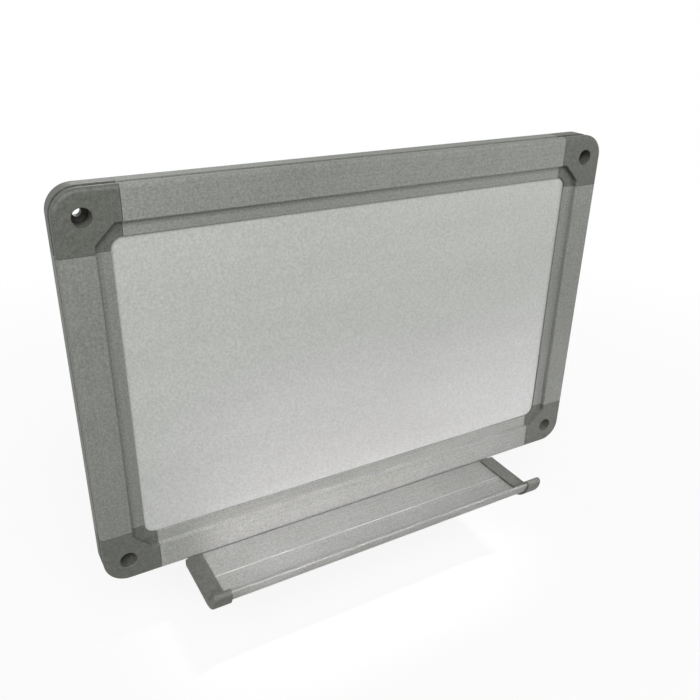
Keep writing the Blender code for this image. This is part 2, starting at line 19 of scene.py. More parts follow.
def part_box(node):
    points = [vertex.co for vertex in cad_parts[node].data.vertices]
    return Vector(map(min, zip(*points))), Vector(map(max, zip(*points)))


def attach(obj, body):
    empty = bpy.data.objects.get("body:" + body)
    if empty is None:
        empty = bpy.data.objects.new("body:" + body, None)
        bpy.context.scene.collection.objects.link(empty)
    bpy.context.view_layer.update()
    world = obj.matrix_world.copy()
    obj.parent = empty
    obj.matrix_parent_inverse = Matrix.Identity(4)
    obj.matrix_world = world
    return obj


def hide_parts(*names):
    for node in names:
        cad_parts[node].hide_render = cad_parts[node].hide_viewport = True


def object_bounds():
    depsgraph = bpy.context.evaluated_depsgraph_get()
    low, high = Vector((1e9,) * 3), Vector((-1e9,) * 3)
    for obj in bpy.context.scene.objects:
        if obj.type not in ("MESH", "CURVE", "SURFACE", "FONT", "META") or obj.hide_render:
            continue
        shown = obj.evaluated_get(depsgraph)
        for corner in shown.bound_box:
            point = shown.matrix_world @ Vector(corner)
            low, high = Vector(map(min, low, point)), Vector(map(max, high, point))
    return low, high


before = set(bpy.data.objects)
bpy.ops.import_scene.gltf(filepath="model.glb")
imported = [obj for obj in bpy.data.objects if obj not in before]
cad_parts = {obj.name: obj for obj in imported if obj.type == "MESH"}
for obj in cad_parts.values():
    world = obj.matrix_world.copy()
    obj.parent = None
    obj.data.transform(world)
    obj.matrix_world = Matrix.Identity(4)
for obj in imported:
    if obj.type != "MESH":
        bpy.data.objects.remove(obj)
cad_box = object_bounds()

LOG = logging.getLogger("whiteboard")

# Clearance between neighbours, how far a cutter runs past what it cuts, and when two points are one
FIT_GAP = 0.0003
OVERRUN = 0.002
MERGE_DISTANCE = 0.000001

SHARP_ANGLE = math.radians(35.0)
SURFACE_MAP = "surface_map"
# Map whose first value tells how much painted highlight a point takes
HIGHLIGHT_MAP = "edge_map"
BOARD_BODY = "board"
TRAY_BODY = "tray"

# Unit vectors of the part's frame
RIGHT, WALLWARD, UP = np.eye(3)

# Sockets of a Mix node that blends colours
MIX_FACTOR = 0
MIX_FIRST = 6
MIX_SECOND = 7
MIX_RESULT = 2

# Most of a noise pattern lies between these two, so tones and gloss are stretched over them
SWING_LOW = 0.3
SWING_HIGH = 0.7

WHITE = (1.0, 1.0, 1.0, 1.0)


# Shapes


class Shell:
    """One closed surface, collected from grids of points and flat lids and then welded."""

    def __init__(self) -> None:
        """Start with no points."""
        self._points: list[np.ndarray] = []
        self._spots: list[np.ndarray] = []
        self._faces: list[list[int]] = []
        self._count = 0

    def _take(self, points: np.ndarray, spots: np.ndarray | None) -> int:
        """Store points with their values for the maps.

        Args:
            points: n by 3 places in space.
            spots: n by 3 values for the maps, or None for noughts.

        Returns:
            The number of the first of them.
        """
        first = self._count
        self._points.append(points)
        self._spots.append(np.zeros((len(points), 3)) if spots is None else spots)
        self._count += len(points)
        return first

    def grid(self, points: np.ndarray, spots: np.ndarray | None = None) -> "Shell":
        """Add a grid of quads: quad (i, j) joins points (i, j), (i, j + 1), (i + 1, j + 1), (i + 1, j).

        Args:
            points: m by n by 3 places in space.
            spots: m by n by 3 values for the maps, or None.

        Returns:
            The shell itself.
        """
        rows, columns = points.shape[:2]
        first = self._take(points.reshape(-1, 3), None if spots is None else spots.reshape(-1, 3))
        number = np.arange(rows * columns).reshape(rows, columns) + first
        quads = np.stack((number[:-1, :-1], number[:-1, 1:], number[1:, 1:], number[1:, :-1]), axis=-1)
        self._faces += quads.reshape(-1, 4).tolist()
        return self

    def lid(self, ring: np.ndarray) -> "Shell":
        """Add one flat face whose corners are the ring's points.

        Args:
            ring: n by 3 places in space, in order round the face.

        Returns:
            The shell itself.
        """
        first = self._take(ring, None)
        self._faces.append(list(range(first, first + len(ring))))
        return self

    def mesh(self, name: str) -> Mesh:
        """Weld what was collected and point every face outwards.

        Args:
            name: the mesh's name.

        Returns:
            The closed mesh. Its surface map holds the first two map values, and its painted highlight map the
            third.
        """
        mesh = bpy.data.meshes.new(name)
        mesh.from_pydata(np.concatenate(self._points), [], self._faces)
        corners = np.empty(len(mesh.loops), dtype=np.int32)
        mesh.loops.foreach_get("vertex_index", corners)
        spots = np.concatenate(self._spots)[corners]
        mesh.uv_layers.new(name=SURFACE_MAP).data.foreach_set("uv", spots[:, :2].ravel())
        mesh.uv_layers.new(name=HIGHLIGHT_MAP).data.foreach_set("uv", (spots[:, 2:] * (1.0, 0.0)).ravel())
        weld(mesh)
        return mesh


def weld(mesh: Mesh) -> None:
    """Merge the doubled points of a mesh and point every face outwards.

    Args:
        mesh: the mesh to change.
    """
    shell = bmesh.new()
    shell.from_mesh(mesh)
    bmesh.ops.remove_doubles(shell, verts=shell.verts, dist=MERGE_DISTANCE)
    bmesh.ops.recalc_face_normals(shell, faces=shell.faces)
    shell.to_mesh(mesh)
    shell.free()


def rounded_outline(corners: np.ndarray, radii: np.ndarray, steps: int) -> tuple[np.ndarray, np.ndarray]:
    """Round the corners of a closed outline with arcs that are tangent to both sides.

    An arc starts and ends radius / tan(half the corner's angle) from the corner. Its centre lies on the
    bisector, radius / sin(half the angle) away, and its points turn evenly from one end to the other.

    Args:
        corners: n by 2 corner points.
        radii: n radii, nought for a sharp corner.
        steps: pieces of each arc.

    Returns:
        The outline's points, and for each of them the number of its corner.
    """
    before = np.roll(corners, 1, axis=0) - corners
    after = np.roll(corners, -1, axis=0) - corners
    before = before / np.linalg.norm(before, axis=1, keepdims=True)
    after = after / np.linalg.norm(after, axis=1, keepdims=True)
    half = np.arccos(np.clip((before * after).sum(axis=1), -1.0, 1.0)) / 2
    reach = (radii / np.tan(half))[:, None]
    bisector = before + after
    away = (radii / np.sin(half))[:, None]
    centre = corners + bisector / np.linalg.norm(bisector, axis=1, keepdims=True) * away
    start = corners + before * reach - centre
    end = corners + after * reach - centre
    turn = (math.pi - 2 * half)[:, None, None]
    share = np.linspace(0.0, 1.0, steps + 1)[None, :, None]
    swing = np.sin((1 - share) * turn) * start[:, None] + np.sin(share * turn) * end[:, None]
    points = (centre[:, None] + swing / np.sin(turn)).reshape(-1, 2)
    owner = np.repeat(np.arange(len(corners)), steps + 1)
    apart = np.linalg.norm(points - np.roll(points, 1, axis=0), axis=1) > MERGE_DISTANCE
    return points[apart], owner[apart]


def rounded_box(
    low: tuple[float, float], high: tuple[float, float], radius: float, steps: int = 5
) -> np.ndarray:
    """Outline of a rectangle with rounded corners.

    Args:
        low: its lowest corner.
        high: its highest corner.
        radius: of its corners.
        steps: pieces of each corner's arc.

    Returns:
        The outline's points.
    """
    corners = np.array([low, (high[0], low[1]), high, (low[0], high[1])])
    return rounded_outline(corners, np.full(len(corners), radius), steps)[0]


def carry(
    section: np.ndarray,
    stations: np.ndarray,
    axes: tuple[np.ndarray, np.ndarray, np.ndarray],
    origin: np.ndarray,
    scales: np.ndarray | None = None,
) -> np.ndarray:
    """Carry a closed section along a straight line.

    Point (i, j) is origin + scale i * (a * first axis + b * second axis) + station i * third axis, where
    (a, b) is point j of the section. The first point is repeated, which closes the rings.

    Args:
        section: n by 2 points.
        stations: m places along the third axis.
        axes: three unit vectors.
        origin: a point in space.
        scales: m scales of the section, or None for its own size throughout.

    Returns:
        m by n + 1 by 3 places.
    """
    ring = np.vstack((section, section[:1]))
    spread = ring[:, :1] * axes[0] + ring[:, 1:] * axes[1]
    sizes = np.ones(len(stations)) if scales is None else scales
    return origin + sizes[:, None, None] * spread + stations[:, None, None] * axes[2]


def turned(
    radii: np.ndarray, depths: np.ndarray, centre: np.ndarray, sides: int, thread: np.ndarray | None = None
) -> np.ndarray:
    """A surface of revolution about an axis along Y.

    Point (i, j) is centre + depth i towards the wall + radius i * (cos t to the right + sin t upwards),
    where t is j turns of 1 / sides. A thread adds its own part to each radius.

    Args:
        radii: m radii.
        depths: m places along the axis.
        centre: where depth nought lies.
        sides: points round the axis.
        thread: m by sides + 1 additions to the radii, or None.

    Returns:
        m by sides + 1 by 3 places.
    """
    t = np.linspace(0.0, 2 * math.pi, sides + 1)[None, :, None]
    reach = radii[:, None] + (0.0 if thread is None else thread)
    reach = np.broadcast_to(reach, (len(radii), sides + 1))[:, :, None]
    return centre + depths[:, None, None] * WALLWARD + reach * (np.cos(t) * RIGHT + np.sin(t) * UP)


def map_values(rings: np.ndarray, painted_highlight: np.ndarray | None) -> np.ndarray:
    """Values for the maps: metres along the first points of the rings, metres round the first ring, and the
    share of painted highlight.

    Args:
        rings: m by n by 3 places.
        painted_highlight: how much painted highlight each of the n - 1 points of a ring takes, from 0 to 1,
            or None.

    Returns:
        m by n by 3 values.
    """
    along = np.linalg.norm(np.diff(rings[:, 0], axis=0), axis=1)
    about = np.linalg.norm(np.diff(rings[0], axis=0), axis=1)
    first = np.concatenate(([0.0], np.cumsum(along)))
    second = np.concatenate(([0.0], np.cumsum(about)))
    values = np.zeros((*rings.shape[:2], 3))
    values[..., 0] = first[:, None]
    values[..., 1] = second
    if painted_highlight is not None:
        values[..., 2] = np.append(painted_highlight, painted_highlight[0])
    return values


def solid(name: str, rings: np.ndarray, painted_highlight: np.ndarray | None = None) -> Mesh:
    """A closed mesh from rings, with a flat lid at each end.

    Args:
        name: the mesh's name.
        rings: m by n by 3 places, each ring ending where it starts.
        painted_highlight: how much painted highlight each point of a ring takes, or None.

    Returns:
        The mesh.
    """
    shell = Shell().grid(rings, map_values(rings, painted_highlight))
    return shell.lid(rings[0, :-1]).lid(rings[-1, :-1]).mesh(name)


class Joining(Enum):
    """What is done with the tools of a mesh."""

    CUT = "DIFFERENCE"
    ADD = "UNION"


def combine(mesh: Mesh, tools: list[Mesh], joining: Joining) -> Mesh:
    """Cut meshes out of a mesh, or join them to it.

    Args:
        mesh: what is changed.
        tools: what is cut out or joined.
        joining: which of the two.

    Returns:
        The new mesh.
    """
    helpers = [bpy.data.objects.new(item.name, item) for item in (mesh, *tools)]
    piece = helpers[0]
    for helper in helpers:
        bpy.context.scene.collection.objects.link(helper)
    for helper in helpers[1:]:
        modifier = piece.modifiers.new(helper.name, "BOOLEAN")
        modifier.operation = joining.value
        modifier.solver = "EXACT"
        modifier.object = helper
    bpy.context.view_layer.update()
    evaluated = piece.evaluated_get(bpy.context.evaluated_depsgraph_get())
    result = bpy.data.meshes.new_from_object(evaluated)
    for helper in helpers:
        bpy.data.objects.remove(helper, do_unlink=True)
    result.name = mesh.name + "_worked"
    return result


def add_piece(name: str, mesh: Mesh, material: Material, body: str, node: str) -> None:
    """Put a finished mesh in the scene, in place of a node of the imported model.

    Args:
        name: the piece's name.
        mesh: its mesh, already in place.
        material: its finish.
        body: the body that it moves with.
        node: the node that it stands for.
    """
    piece = bpy.data.objects.new(name, mesh)
    bpy.context.scene.collection.objects.link(piece)
    mesh.materials.clear()
    mesh.materials.append(material)
    mesh.shade_smooth()
    mesh.set_sharp_from_angle(angle=SHARP_ANGLE)
    even = piece.modifiers.new("even_normals", "WEIGHTED_NORMAL")
    even.keep_sharp = True
    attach(piece, body)
    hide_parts(node)
    LOG.info("%s: %d faces, rides on %s", name, len(mesh.polygons), body)


# Finishes


def linear_colour(code: str) -> tuple[float, float, float, float]:
    """Turn an sRGB hex colour such as #8C8E89 to linear red, green, blue and alpha.

    A channel c up to 0.04045 becomes c / 12.92, and a larger one ((c + 0.055) / 1.055) to the power 2.4.

    Args:
        code: the colour, a hash and six hex digits.

    Returns:
        Four linear values.
    """
    channels = [int(code[i : i + 2], 16) / 255 for i in (1, 3, 5)]
    linear = [c / 12.92 if c <= 0.04045 else ((c + 0.055) / 1.055) ** 2.4 for c in channels]
    return (*linear, 1.0)


def add_node(tree: NodeTree, kind: str, inputs: dict | None = None, **settings: object) -> Node:
    """Add a shader node with its settings, values and links.

    Args:
        tree: the node tree.
        kind: the node's type, without its ShaderNode prefix.
        inputs: by name or number of an input, a value or the output that feeds it.
        settings: the node's own properties.

    Returns:
        The node.
    """
    node = tree.nodes.new("ShaderNode" + kind)
    for key, value in settings.items():
        setattr(node, key, value)
    for key, value in (inputs or {}).items():
        if isinstance(value, NodeSocket):
            tree.links.new(value, node.inputs[key])
        else:
            node.inputs[key].default_value = value
    return node


def weighted_sum(tree: NodeTree, patterns: tuple[NodeSocket, ...], shares: tuple[float, ...]) -> NodeSocket:
    """Add up patterns, each times its share.

    Args:
        tree: the node tree.
        patterns: the outputs to add up.
        shares: the share of each.

    Returns:
        The output with the sum.
    """
    total: NodeSocket | float = 0.0
    for pattern, share in zip(patterns, shares):
        step = add_node(tree, "Math", {0: pattern, 1: share, 2: total}, operation="MULTIPLY_ADD")
        total = step.outputs["Value"]
    return total


class Finish:
    """What the finishes share: a new material, and two tones, a gloss and a relief that follow patterns.

    A pattern runs from 0 to 1, and most of it lies between SWING_LOW and SWING_HIGH.
    """

    name: str
    # Tones where their pattern is low and high, and roughness where its own is
    dark: str
    light: str
    smooth: float
    matt: float
    # Metres from the relief's lowest point to its highest
    relief_depth: float
    metallic: float = 0.0

    def material(self) -> Material:
        """Build the material: an even surface, with the finish's patterns drawn on it.

        Returns:
            The new material.
        """
        material = bpy.data.materials.new(self.name)
        material.use_nodes = True
        tree = material.node_tree
        shader = tree.nodes["Principled BSDF"]
        shader.inputs["Metallic"].default_value = self.metallic
        self.draw(tree, shader, add_node(tree, "TexCoord").outputs["Object"])
        return material

    def draw(self, tree: NodeTree, shader: Node, place: NodeSocket) -> None:
        """Draw the finish's own patterns.

        Args:
            tree: the material's node tree.
            shader: the material's shader.
            place: the place on the object, in metres.
        """
        raise NotImplementedError

    def tones(self, tree: NodeTree, pattern: NodeSocket) -> NodeSocket:
        """Blend the two tones by a pattern.

        Args:
            tree: the node tree.
            pattern: low where the tone is dark, and high where it is light.

        Returns:
            The output with the colour.
        """
        limits = {"Value": pattern, "From Min": SWING_LOW, "From Max": SWING_HIGH}
        share = add_node(tree, "MapRange", limits).outputs["Result"]
        dark, light = linear_colour(self.dark), linear_colour(self.light)
        tones = {MIX_FACTOR: share, MIX_FIRST: dark, MIX_SECOND: light}
        return add_node(tree, "Mix", tones, data_type="RGBA").outputs[MIX_RESULT]

    def gloss(self, tree: NodeTree, shader: Node, pattern: NodeSocket) -> None:
        """Let the roughness follow a pattern.

        Args:
            tree: the node tree.
            shader: the material's shader.
            pattern: low where the surface is smooth, and high where it is matt.
        """
        limits = {"Value": pattern, "From Min": SWING_LOW, "From Max": SWING_HIGH}
        limits |= {"To Min": self.smooth, "To Max": self.matt}
        tree.links.new(add_node(tree, "MapRange", limits).outputs["Result"], shader.inputs["Roughness"])

    def relief(self, tree: NodeTree, shader: Node, pattern: NodeSocket) -> None:
        """Raise and lower the surface by a pattern.

        Args:
            tree: the node tree.
            shader: the material's shader.
            pattern: the height, 1 where it is a full relief depth above 0.
        """
        bump = add_node(tree, "Bump", {"Height": pattern, "Distance": self.relief_depth, "Strength": 1.0})
        tree.links.new(bump.outputs["Normal"], shader.inputs["Normal"])


@dataclass(frozen=True)
class AnodisedAluminium(Finish):
    """Extruded aluminium, etched matt and clear anodised.

    To the eye that is a soft grey sheen with no sharp reflection, with faint lines that the die drew along
    the bar and a slightly cloudy tone.
    """

    name: str = "anodised_aluminium_etched_matt"
    dark: str = "#787A75"
    light: str = "#A2A49F"
    # Colour of the painted highlight on the tray's ridge and along the top of its lip
    painted_highlight: str = "#BBBDB9"
    smooth: float = 0.58
    matt: float = 0.66
    # A fully metallic surface would mirror the white surroundings too evenly
    metallic: float = 0.5
    relief_depth: float = 0.000007
    line_length: float = 0.9
    # Die lines are about 0.1 mm apart, and are drawn ten times as coarse so that they show
    line_spacing: float = 0.0010
    # The etch is about 0.02 mm fine, and is drawn at 1.4 mm so that it shows
    grain: float = 0.0014
    cloud: float = 0.045
    # Shares of lines, etch and clouds in the tone, of lines and clouds in the gloss, and of lines and etch
    # in the relief
    tone_shares: tuple[float, float, float] = (0.25, 0.6, 0.15)
    gloss_shares: tuple[float, float] = (0.5, 0.5)
    relief_shares: tuple[float, float] = (0.6, 0.4)
    # The die lines stretch a highlight across the bar
    stretch_of_highlight: float = 0.88
    quarter_turn: float = 0.25

    def draw(self, tree: NodeTree, shader: Node, place: NodeSocket) -> None:
        """Draw die lines, etched grain and clouds, and paint a highlight on the marked edges.

        Args:
            tree: the material's node tree.
            shader: the material's shader.
            place: the place on the object, in metres.
        """
        shader.inputs["Anisotropic"].default_value = self.stretch_of_highlight
        shader.inputs["Anisotropic Rotation"].default_value = self.quarter_turn
        along = add_node(tree, "Tangent", direction_type="UV_MAP", uv_map=SURFACE_MAP)
        tree.links.new(along.outputs["Tangent"], shader.inputs["Tangent"])
        spot = add_node(tree, "UVMap", uv_map=SURFACE_MAP).outputs["UV"]
        stretch = (1 / self.line_length, 1 / self.line_spacing, 1.0)
        bar = add_node(tree, "Mapping", {"Vector": spot, "Scale": stretch}).outputs["Vector"]
        drawn = {"Vector": bar, "Scale": 1.0, "Detail": 3.0}
        lines = add_node(tree, "TexNoise", drawn, noise_dimensions="2D")
        etch = add_node(tree, "TexNoise", {"Vector": place, "Scale": 1 / self.grain, "Detail": 2.0})
        clouds = add_node(tree, "TexNoise", {"Vector": place, "Scale": 1 / self.cloud, "Detail": 2.0})
        line, grain, cloud = (item.outputs["Fac"] for item in (lines, etch, clouds))
        tone = self.tones(tree, weighted_sum(tree, (line, grain, cloud), self.tone_shares))
        # Painted highlight: the second map's share blends the tone towards the highlight colour
        edge = add_node(tree, "UVMap", uv_map=HIGHLIGHT_MAP).outputs["UV"]
        share = add_node(tree, "SeparateXYZ", {"Vector": edge}).outputs["X"]
        bright = {MIX_FACTOR: share, MIX_FIRST: tone, MIX_SECOND: linear_colour(self.painted_highlight)}
        colour = add_node(tree, "Mix", bright, data_type="RGBA").outputs[MIX_RESULT]
        tree.links.new(colour, shader.inputs["Base Color"])
        self.gloss(tree, shader, weighted_sum(tree, (line, cloud), self.gloss_shares))
        self.relief(tree, shader, weighted_sum(tree, (line, grain), self.relief_shares))


@dataclass(frozen=True)
class MouldedABS(Finish):
    """Injection-moulded ABS, coloured through, from a spark-eroded mould.

    To the eye that is a dull dark grey with a fine even grain and a weak, broad shine.
    """

    name: str = "abs_moulded_spark_grain"
    dark: str = "#40423C"
    light: str = "#6A6C66"
    smooth: float = 0.50
    matt: float = 0.62
    relief_depth: float = 0.00008
    # Spark grain is about 0.1 mm, and is drawn at 1.1 mm so that it shows
    grain: float = 0.0011
    mottle: float = 0.0032
    # Shares of grain and mottle in the tone and the gloss
    shares: tuple[float, float] = (0.55, 0.45)

    def draw(self, tree: NodeTree, shader: Node, place: NodeSocket) -> None:
        """Draw a fine grain over a broader mottle.

        Args:
            tree: the material's node tree.
            shader: the material's shader.
            place: the place on the object, in metres.
        """
        grain = add_node(tree, "TexNoise", {"Vector": place, "Scale": 1 / self.grain, "Detail": 2.0})
        mottle = add_node(tree, "TexNoise", {"Vector": place, "Scale": 1 / self.mottle, "Detail": 2.0})
        both = weighted_sum(tree, (grain.outputs["Fac"], mottle.outputs["Fac"]), self.shares)
        tree.links.new(self.tones(tree, both), shader.inputs["Base Color"])
        self.gloss(tree, shader, both)
        self.relief(tree, shader, grain.outputs["Fac"])


@dataclass(frozen=True)
class LacqueredSteel(Finish):
    """Steel sheet with a baked white dry-wipe lacquer.

    To the eye that is a smooth off-white face with a soft shine, a faint orange peel, and a trace of haze
    where it has been wiped.
    """

    name: str = "steel_white_dry_wipe_lacquer"
    dark: str = "#ACAEAA"
    light: str = "#C2C4C0"
    smooth: float = 0.33
    matt: float = 0.46
    relief_depth: float = 0.000010
    coat_weight: float = 0.15
    coat_roughness: float = 0.3
    peel: float = 0.0024
    # The lacquer's specks are about 0.2 mm, and are drawn at 1.4 mm so that they show
    speck: float = 0.0014
    wipe_length: float = 0.140
    wipe_width: float = 0.030
    wipe_slant: float = math.radians(-24.0)
    # Shares of haze and specks in the tone
    shares: tuple[float, float] = (0.2, 0.8)

    def draw(self, tree: NodeTree, shader: Node, place: NodeSocket) -> None:
        """Draw slanted wipes of haze, fine specks and the orange peel, under a thin clear coat.

        Args:
            tree: the material's node tree.
            shader: the material's shader.
            place: the place on the object, in metres.
        """
        shader.inputs["Coat Weight"].default_value = self.coat_weight
        shader.inputs["Coat Roughness"].default_value = self.coat_roughness
        stretch = (1 / self.wipe_length, 1 / self.wipe_length, 1 / self.wipe_width)
        slanted = {"Vector": place, "Rotation": (0.0, self.wipe_slant, 0.0), "Scale": stretch}
        swept = add_node(tree, "Mapping", slanted).outputs["Vector"]
        haze = add_node(tree, "TexNoise", {"Vector": swept, "Scale": 1.0, "Detail": 4.0}).outputs["Fac"]
        specks = add_node(tree, "TexNoise", {"Vector": place, "Scale": 1 / self.speck, "Detail": 1.0})
        peel = add_node(tree, "TexNoise", {"Vector": place, "Scale": 1 / self.peel, "Detail": 0.0})
        both = weighted_sum(tree, (haze, specks.outputs["Fac"]), self.shares)
        tree.links.new(self.tones(tree, both), shader.inputs["Base Color"])
        self.gloss(tree, shader, haze)
        self.relief(tree, shader, peel.outputs["Fac"])


@dataclass(frozen=True)
class GalvanisedSteel(Finish):
    """Thin hot-dip galvanised steel sheet.

    To the eye that is a cool grey metal broken into flat zinc crystals, each with its own tone and shine.
    """

    name: str = "steel_galvanised_spangle"
    dark: str = "#8E9190"
    light: str = "#ABAEAD"
    smooth: float = 0.36
    matt: float = 0.44
    metallic: float = 1.0
    relief_depth: float = 0.000010
    crystal: float = 0.006
    # The zinc's own grain is about 0.1 mm, and is drawn at 1.2 mm so that it shows
    grain: float = 0.0012
    # Shares of crystals and grain in the tone
    shares: tuple[float, float] = (0.4, 0.6)

    def draw(self, tree: NodeTree, shader: Node, place: NodeSocket) -> None:
        """Draw flat crystals with a fine grain.

        Args:
            tree: the material's node tree.
            shader: the material's shader.
            place: the place on the object, in metres.
        """
        cells = add_node(tree, "TexVoronoi", {"Vector": place, "Scale": 1 / self.crystal, "Randomness": 1.0})
        crystal = add_node(tree, "SeparateColor", {"Color": cells.outputs["Color"]}).outputs["Red"]
        grain = add_node(tree, "TexNoise", {"Vector": place, "Scale": 1 / self.grain, "Detail": 2.0})
        both = weighted_sum(tree, (crystal, grain.outputs["Fac"]), self.shares)
        tree.links.new(self.tones(tree, both), shader.inputs["Base Color"])
        self.gloss(tree, shader, crystal)
        self.relief(tree, shader, grain.outputs["Fac"])


@dataclass(frozen=True)
class ZincPlatedSteel(Finish):
    """Small steel screws with a bright zinc plating.

    To the eye that is a clean silver with a faintly yellow tone and fine turning marks.
    """

    name: str = "steel_zinc_plated"
    dark: str = "#9C9B95"
    light: str = "#BDBCB4"
    smooth: float = 0.25
    matt: float = 0.36
    metallic: float = 1.0
    relief_depth: float = 0.000006
    # Turning marks are about 0.05 mm fine, and are drawn at 0.7 mm so that they show
    grain: float = 0.0007

    def draw(self, tree: NodeTree, shader: Node, place: NodeSocket) -> None:
        """Draw one fine grain in tone, gloss and relief.

        Args:
            tree: the material's node tree.
            shader: the material's shader.
            place: the place on the object, in metres.
        """
        fine = {"Vector": place, "Scale": 1 / self.grain, "Detail": 2.0}
        grain = add_node(tree, "TexNoise", fine).outputs["Fac"]
        tree.links.new(self.tones(tree, grain), shader.inputs["Base Color"])
        self.gloss(tree, shader, grain)
        self.relief(tree, shader, grain)


@dataclass(frozen=True)
class Fibreboard(Finish):
    """Pressed wood-fibre board, as it comes from the press.

    To the eye that is a warm brown with short matted fibres and no shine.
    """

    name: str = "fibreboard_pressed"
    dark: str = "#8A6A48"
    light: str = "#B08F68"
    roughness: float = 0.85
    relief_depth: float = 0.00006
    # Fibres are about 0.1 mm thick, and are drawn at 0.9 mm so that they show
    fibre: float = 0.0009
    tangle: float = 1.5

    def draw(self, tree: NodeTree, shader: Node, place: NodeSocket) -> None:
        """Draw tangled fibres in tone and relief.

        Args:
            tree: the material's node tree.
            shader: the material's shader.
            place: the place on the object, in metres.
        """
        shader.inputs["Roughness"].default_value = self.roughness
        mat = {"Vector": place, "Scale": 1 / self.fibre, "Detail": 5.0, "Distortion": self.tangle}
        fibres = add_node(tree, "TexNoise", mat).outputs["Fac"]
        tree.links.new(self.tones(tree, fibres), shader.inputs["Base Color"])
        self.relief(tree, shader, fibres)


# Frame of rails and corners


class CornerPath(Enum):
    """How a point of the frame's section runs round a corner of the board."""

    RIM = "round, about the centre of the outer corner"
    STEP = "straight across, along the slanted inner corner of the raised face"
    OPENING = "round, about the centre of the writing face's corner"
    SQUARE = "square, with a sharp corner"


class Slot(Enum):
    """What the outer edge of the section holds."""

    UNDERCUT = "the slot of a rail, wider inside than its mouth"
    GROOVE = "the shallow groove of a corner cap"


@dataclass(frozen=True)
class FrameSection:
    """Section of the frame: u inwards from the board's outer edge, and y towards the wall."""

    front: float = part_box("top_rail")[0].y
    raised_width: float = 0.0235
    step_depth: float = 0.0040
    band_width: float = 0.0101
    lip_thickness: float = 0.0015
    channel_reach: float = 0.0106
    rear_lip_width: float = 0.0080
    rear_lip_thickness: float = 0.0015
    rear_recess: float = 0.0039
    front_rounding: float = 0.0030
    step_rounding: float = 0.0010
    foot_rounding: float = 0.0005
    edge_rounding: float = 0.0003
    back_rounding: float = 0.0010
    slot_setback: float = 0.0055
    slot_mouth: float = 0.0050
    slot_lip: float = 0.0018
    slot_inner: float = 0.0110
    slot_depth: float = 0.0075
    groove_depth: float = 0.0030
    # Walls of the hollow rails: front and sides, and back
    wall: float = 0.0015
    rear_wall: float = 0.0020
    steps: int = 6

    @property
    def visible_width(self) -> float:
        """Width of the frame as it shows from the front."""
        return self.raised_width + self.band_width

    @property
    def channel_floor(self) -> float:
        """U of the floor of the channel that holds the panel."""
        return self.visible_width - self.channel_reach

    @property
    def mouth(self) -> tuple[float, float]:
        """Y of the front and the back of the slot's mouth."""
        return self.front + self.slot_setback, self.front + self.slot_setback + self.slot_mouth

    @property
    def slot_inside(self) -> tuple[float, float]:
        """Y of the front and the back of the slot's wide part."""
        middle = sum(self.mouth) / 2
        return middle - self.slot_inner / 2, middle + self.slot_inner / 2

    @property
    def chamber(self) -> tuple[tuple[float, float], tuple[float, float]]:
        """Lowest and highest corner, each u and y, of the rails' chamber for the legs of the caps."""
        low = (self.slot_depth + self.wall, self.front + self.wall)
        return low, (self.channel_floor - self.wall, -self.rear_wall)

    def corners(self, slot: Slot) -> list[tuple[float, float, float, CornerPath]]:
        """Corners of the section: u, y, rounding and path round the board's corners.

        Args:
            slot: what the outer edge holds.

        Returns:
            The corners in order, from the outer front edge over the face to the back and the slot.
        """
        band = self.front + self.step_depth
        lip_back = band + self.lip_thickness
        rear_back = -self.rear_recess
        rear_front = rear_back - self.rear_lip_thickness
        rear_end = self.channel_floor + self.rear_lip_width
        edge = self.edge_rounding
        rows = [
            (0.0, self.front, self.front_rounding, CornerPath.RIM),
            (self.raised_width, self.front, self.step_rounding, CornerPath.STEP),
            (self.raised_width, band, self.foot_rounding, CornerPath.STEP),
            (self.visible_width, band, edge, CornerPath.OPENING),
            (self.visible_width, lip_back, edge, CornerPath.OPENING),
            (self.channel_floor, lip_back, edge, CornerPath.SQUARE),
            (self.channel_floor, rear_front, edge, CornerPath.SQUARE),
            (rear_end, rear_front, edge, CornerPath.SQUARE),
            (rear_end, rear_back, edge, CornerPath.SQUARE),
            (self.channel_floor, rear_back, edge, CornerPath.SQUARE),
            (self.channel_floor, 0.0, edge, CornerPath.SQUARE),
            (0.0, 0.0, self.back_rounding, CornerPath.RIM),
        ]
        mouth_front, mouth_back = self.mouth
        inside_front, inside_back = self.slot_inside
        if slot is Slot.UNDERCUT:
            spots = [
                (0.0, mouth_back),
                (self.slot_lip, mouth_back),
                (self.slot_lip, inside_back),
                (self.slot_depth, inside_back),
                (self.slot_depth, inside_front),
                (self.slot_lip, inside_front),
                (self.slot_lip, mouth_front),
                (0.0, mouth_front),
            ]
        else:
            spots = [
                (0.0, mouth_back),
                (self.groove_depth, mouth_back),
                (self.groove_depth, mouth_front),
                (0.0, mouth_front),
            ]
        return rows + [(u, y, edge, CornerPath.RIM) for u, y in spots]

    def outline(self, slot: Slot) -> tuple[np.ndarray, list[CornerPath]]:
        """The rounded outline of the section.

        Args:
            slot: what the outer edge holds.

        Returns:
            Its points, and the path of each of them round the board's corners.
        """
        rows = self.corners(slot)
        points = np.array([row[:2] for row in rows])
        radii = np.array([row[2] for row in rows])
        outline, owner = rounded_outline(points, radii, self.steps)
        return outline, [rows[i][3] for i in owner]


class RailSide(Enum):
    """A rail: its node, the direction inwards from its outer edge, and the direction along it."""

    LEFT = ("left_rail", RIGHT, UP)
    TOP = ("top_rail", -UP, RIGHT)
    RIGHT_HAND = ("right_rail", -RIGHT, UP)
    BOTTOM = ("bottom_rail", UP, RIGHT)


def screw_nodes() -> list[str]:
    """Names of the corner screws' nodes, in order."""
    return sorted(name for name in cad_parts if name.startswith("corner_screw_"))


def screw_place(node: str) -> np.ndarray:
    """Middle of a screw's head face.

    Args:
        node: the screw's node.

    Returns:
        The point, in space.
    """
    low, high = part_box(node)
    return np.array([(low.x + high.x) / 2, high.y, (low.z + high.z) / 2])


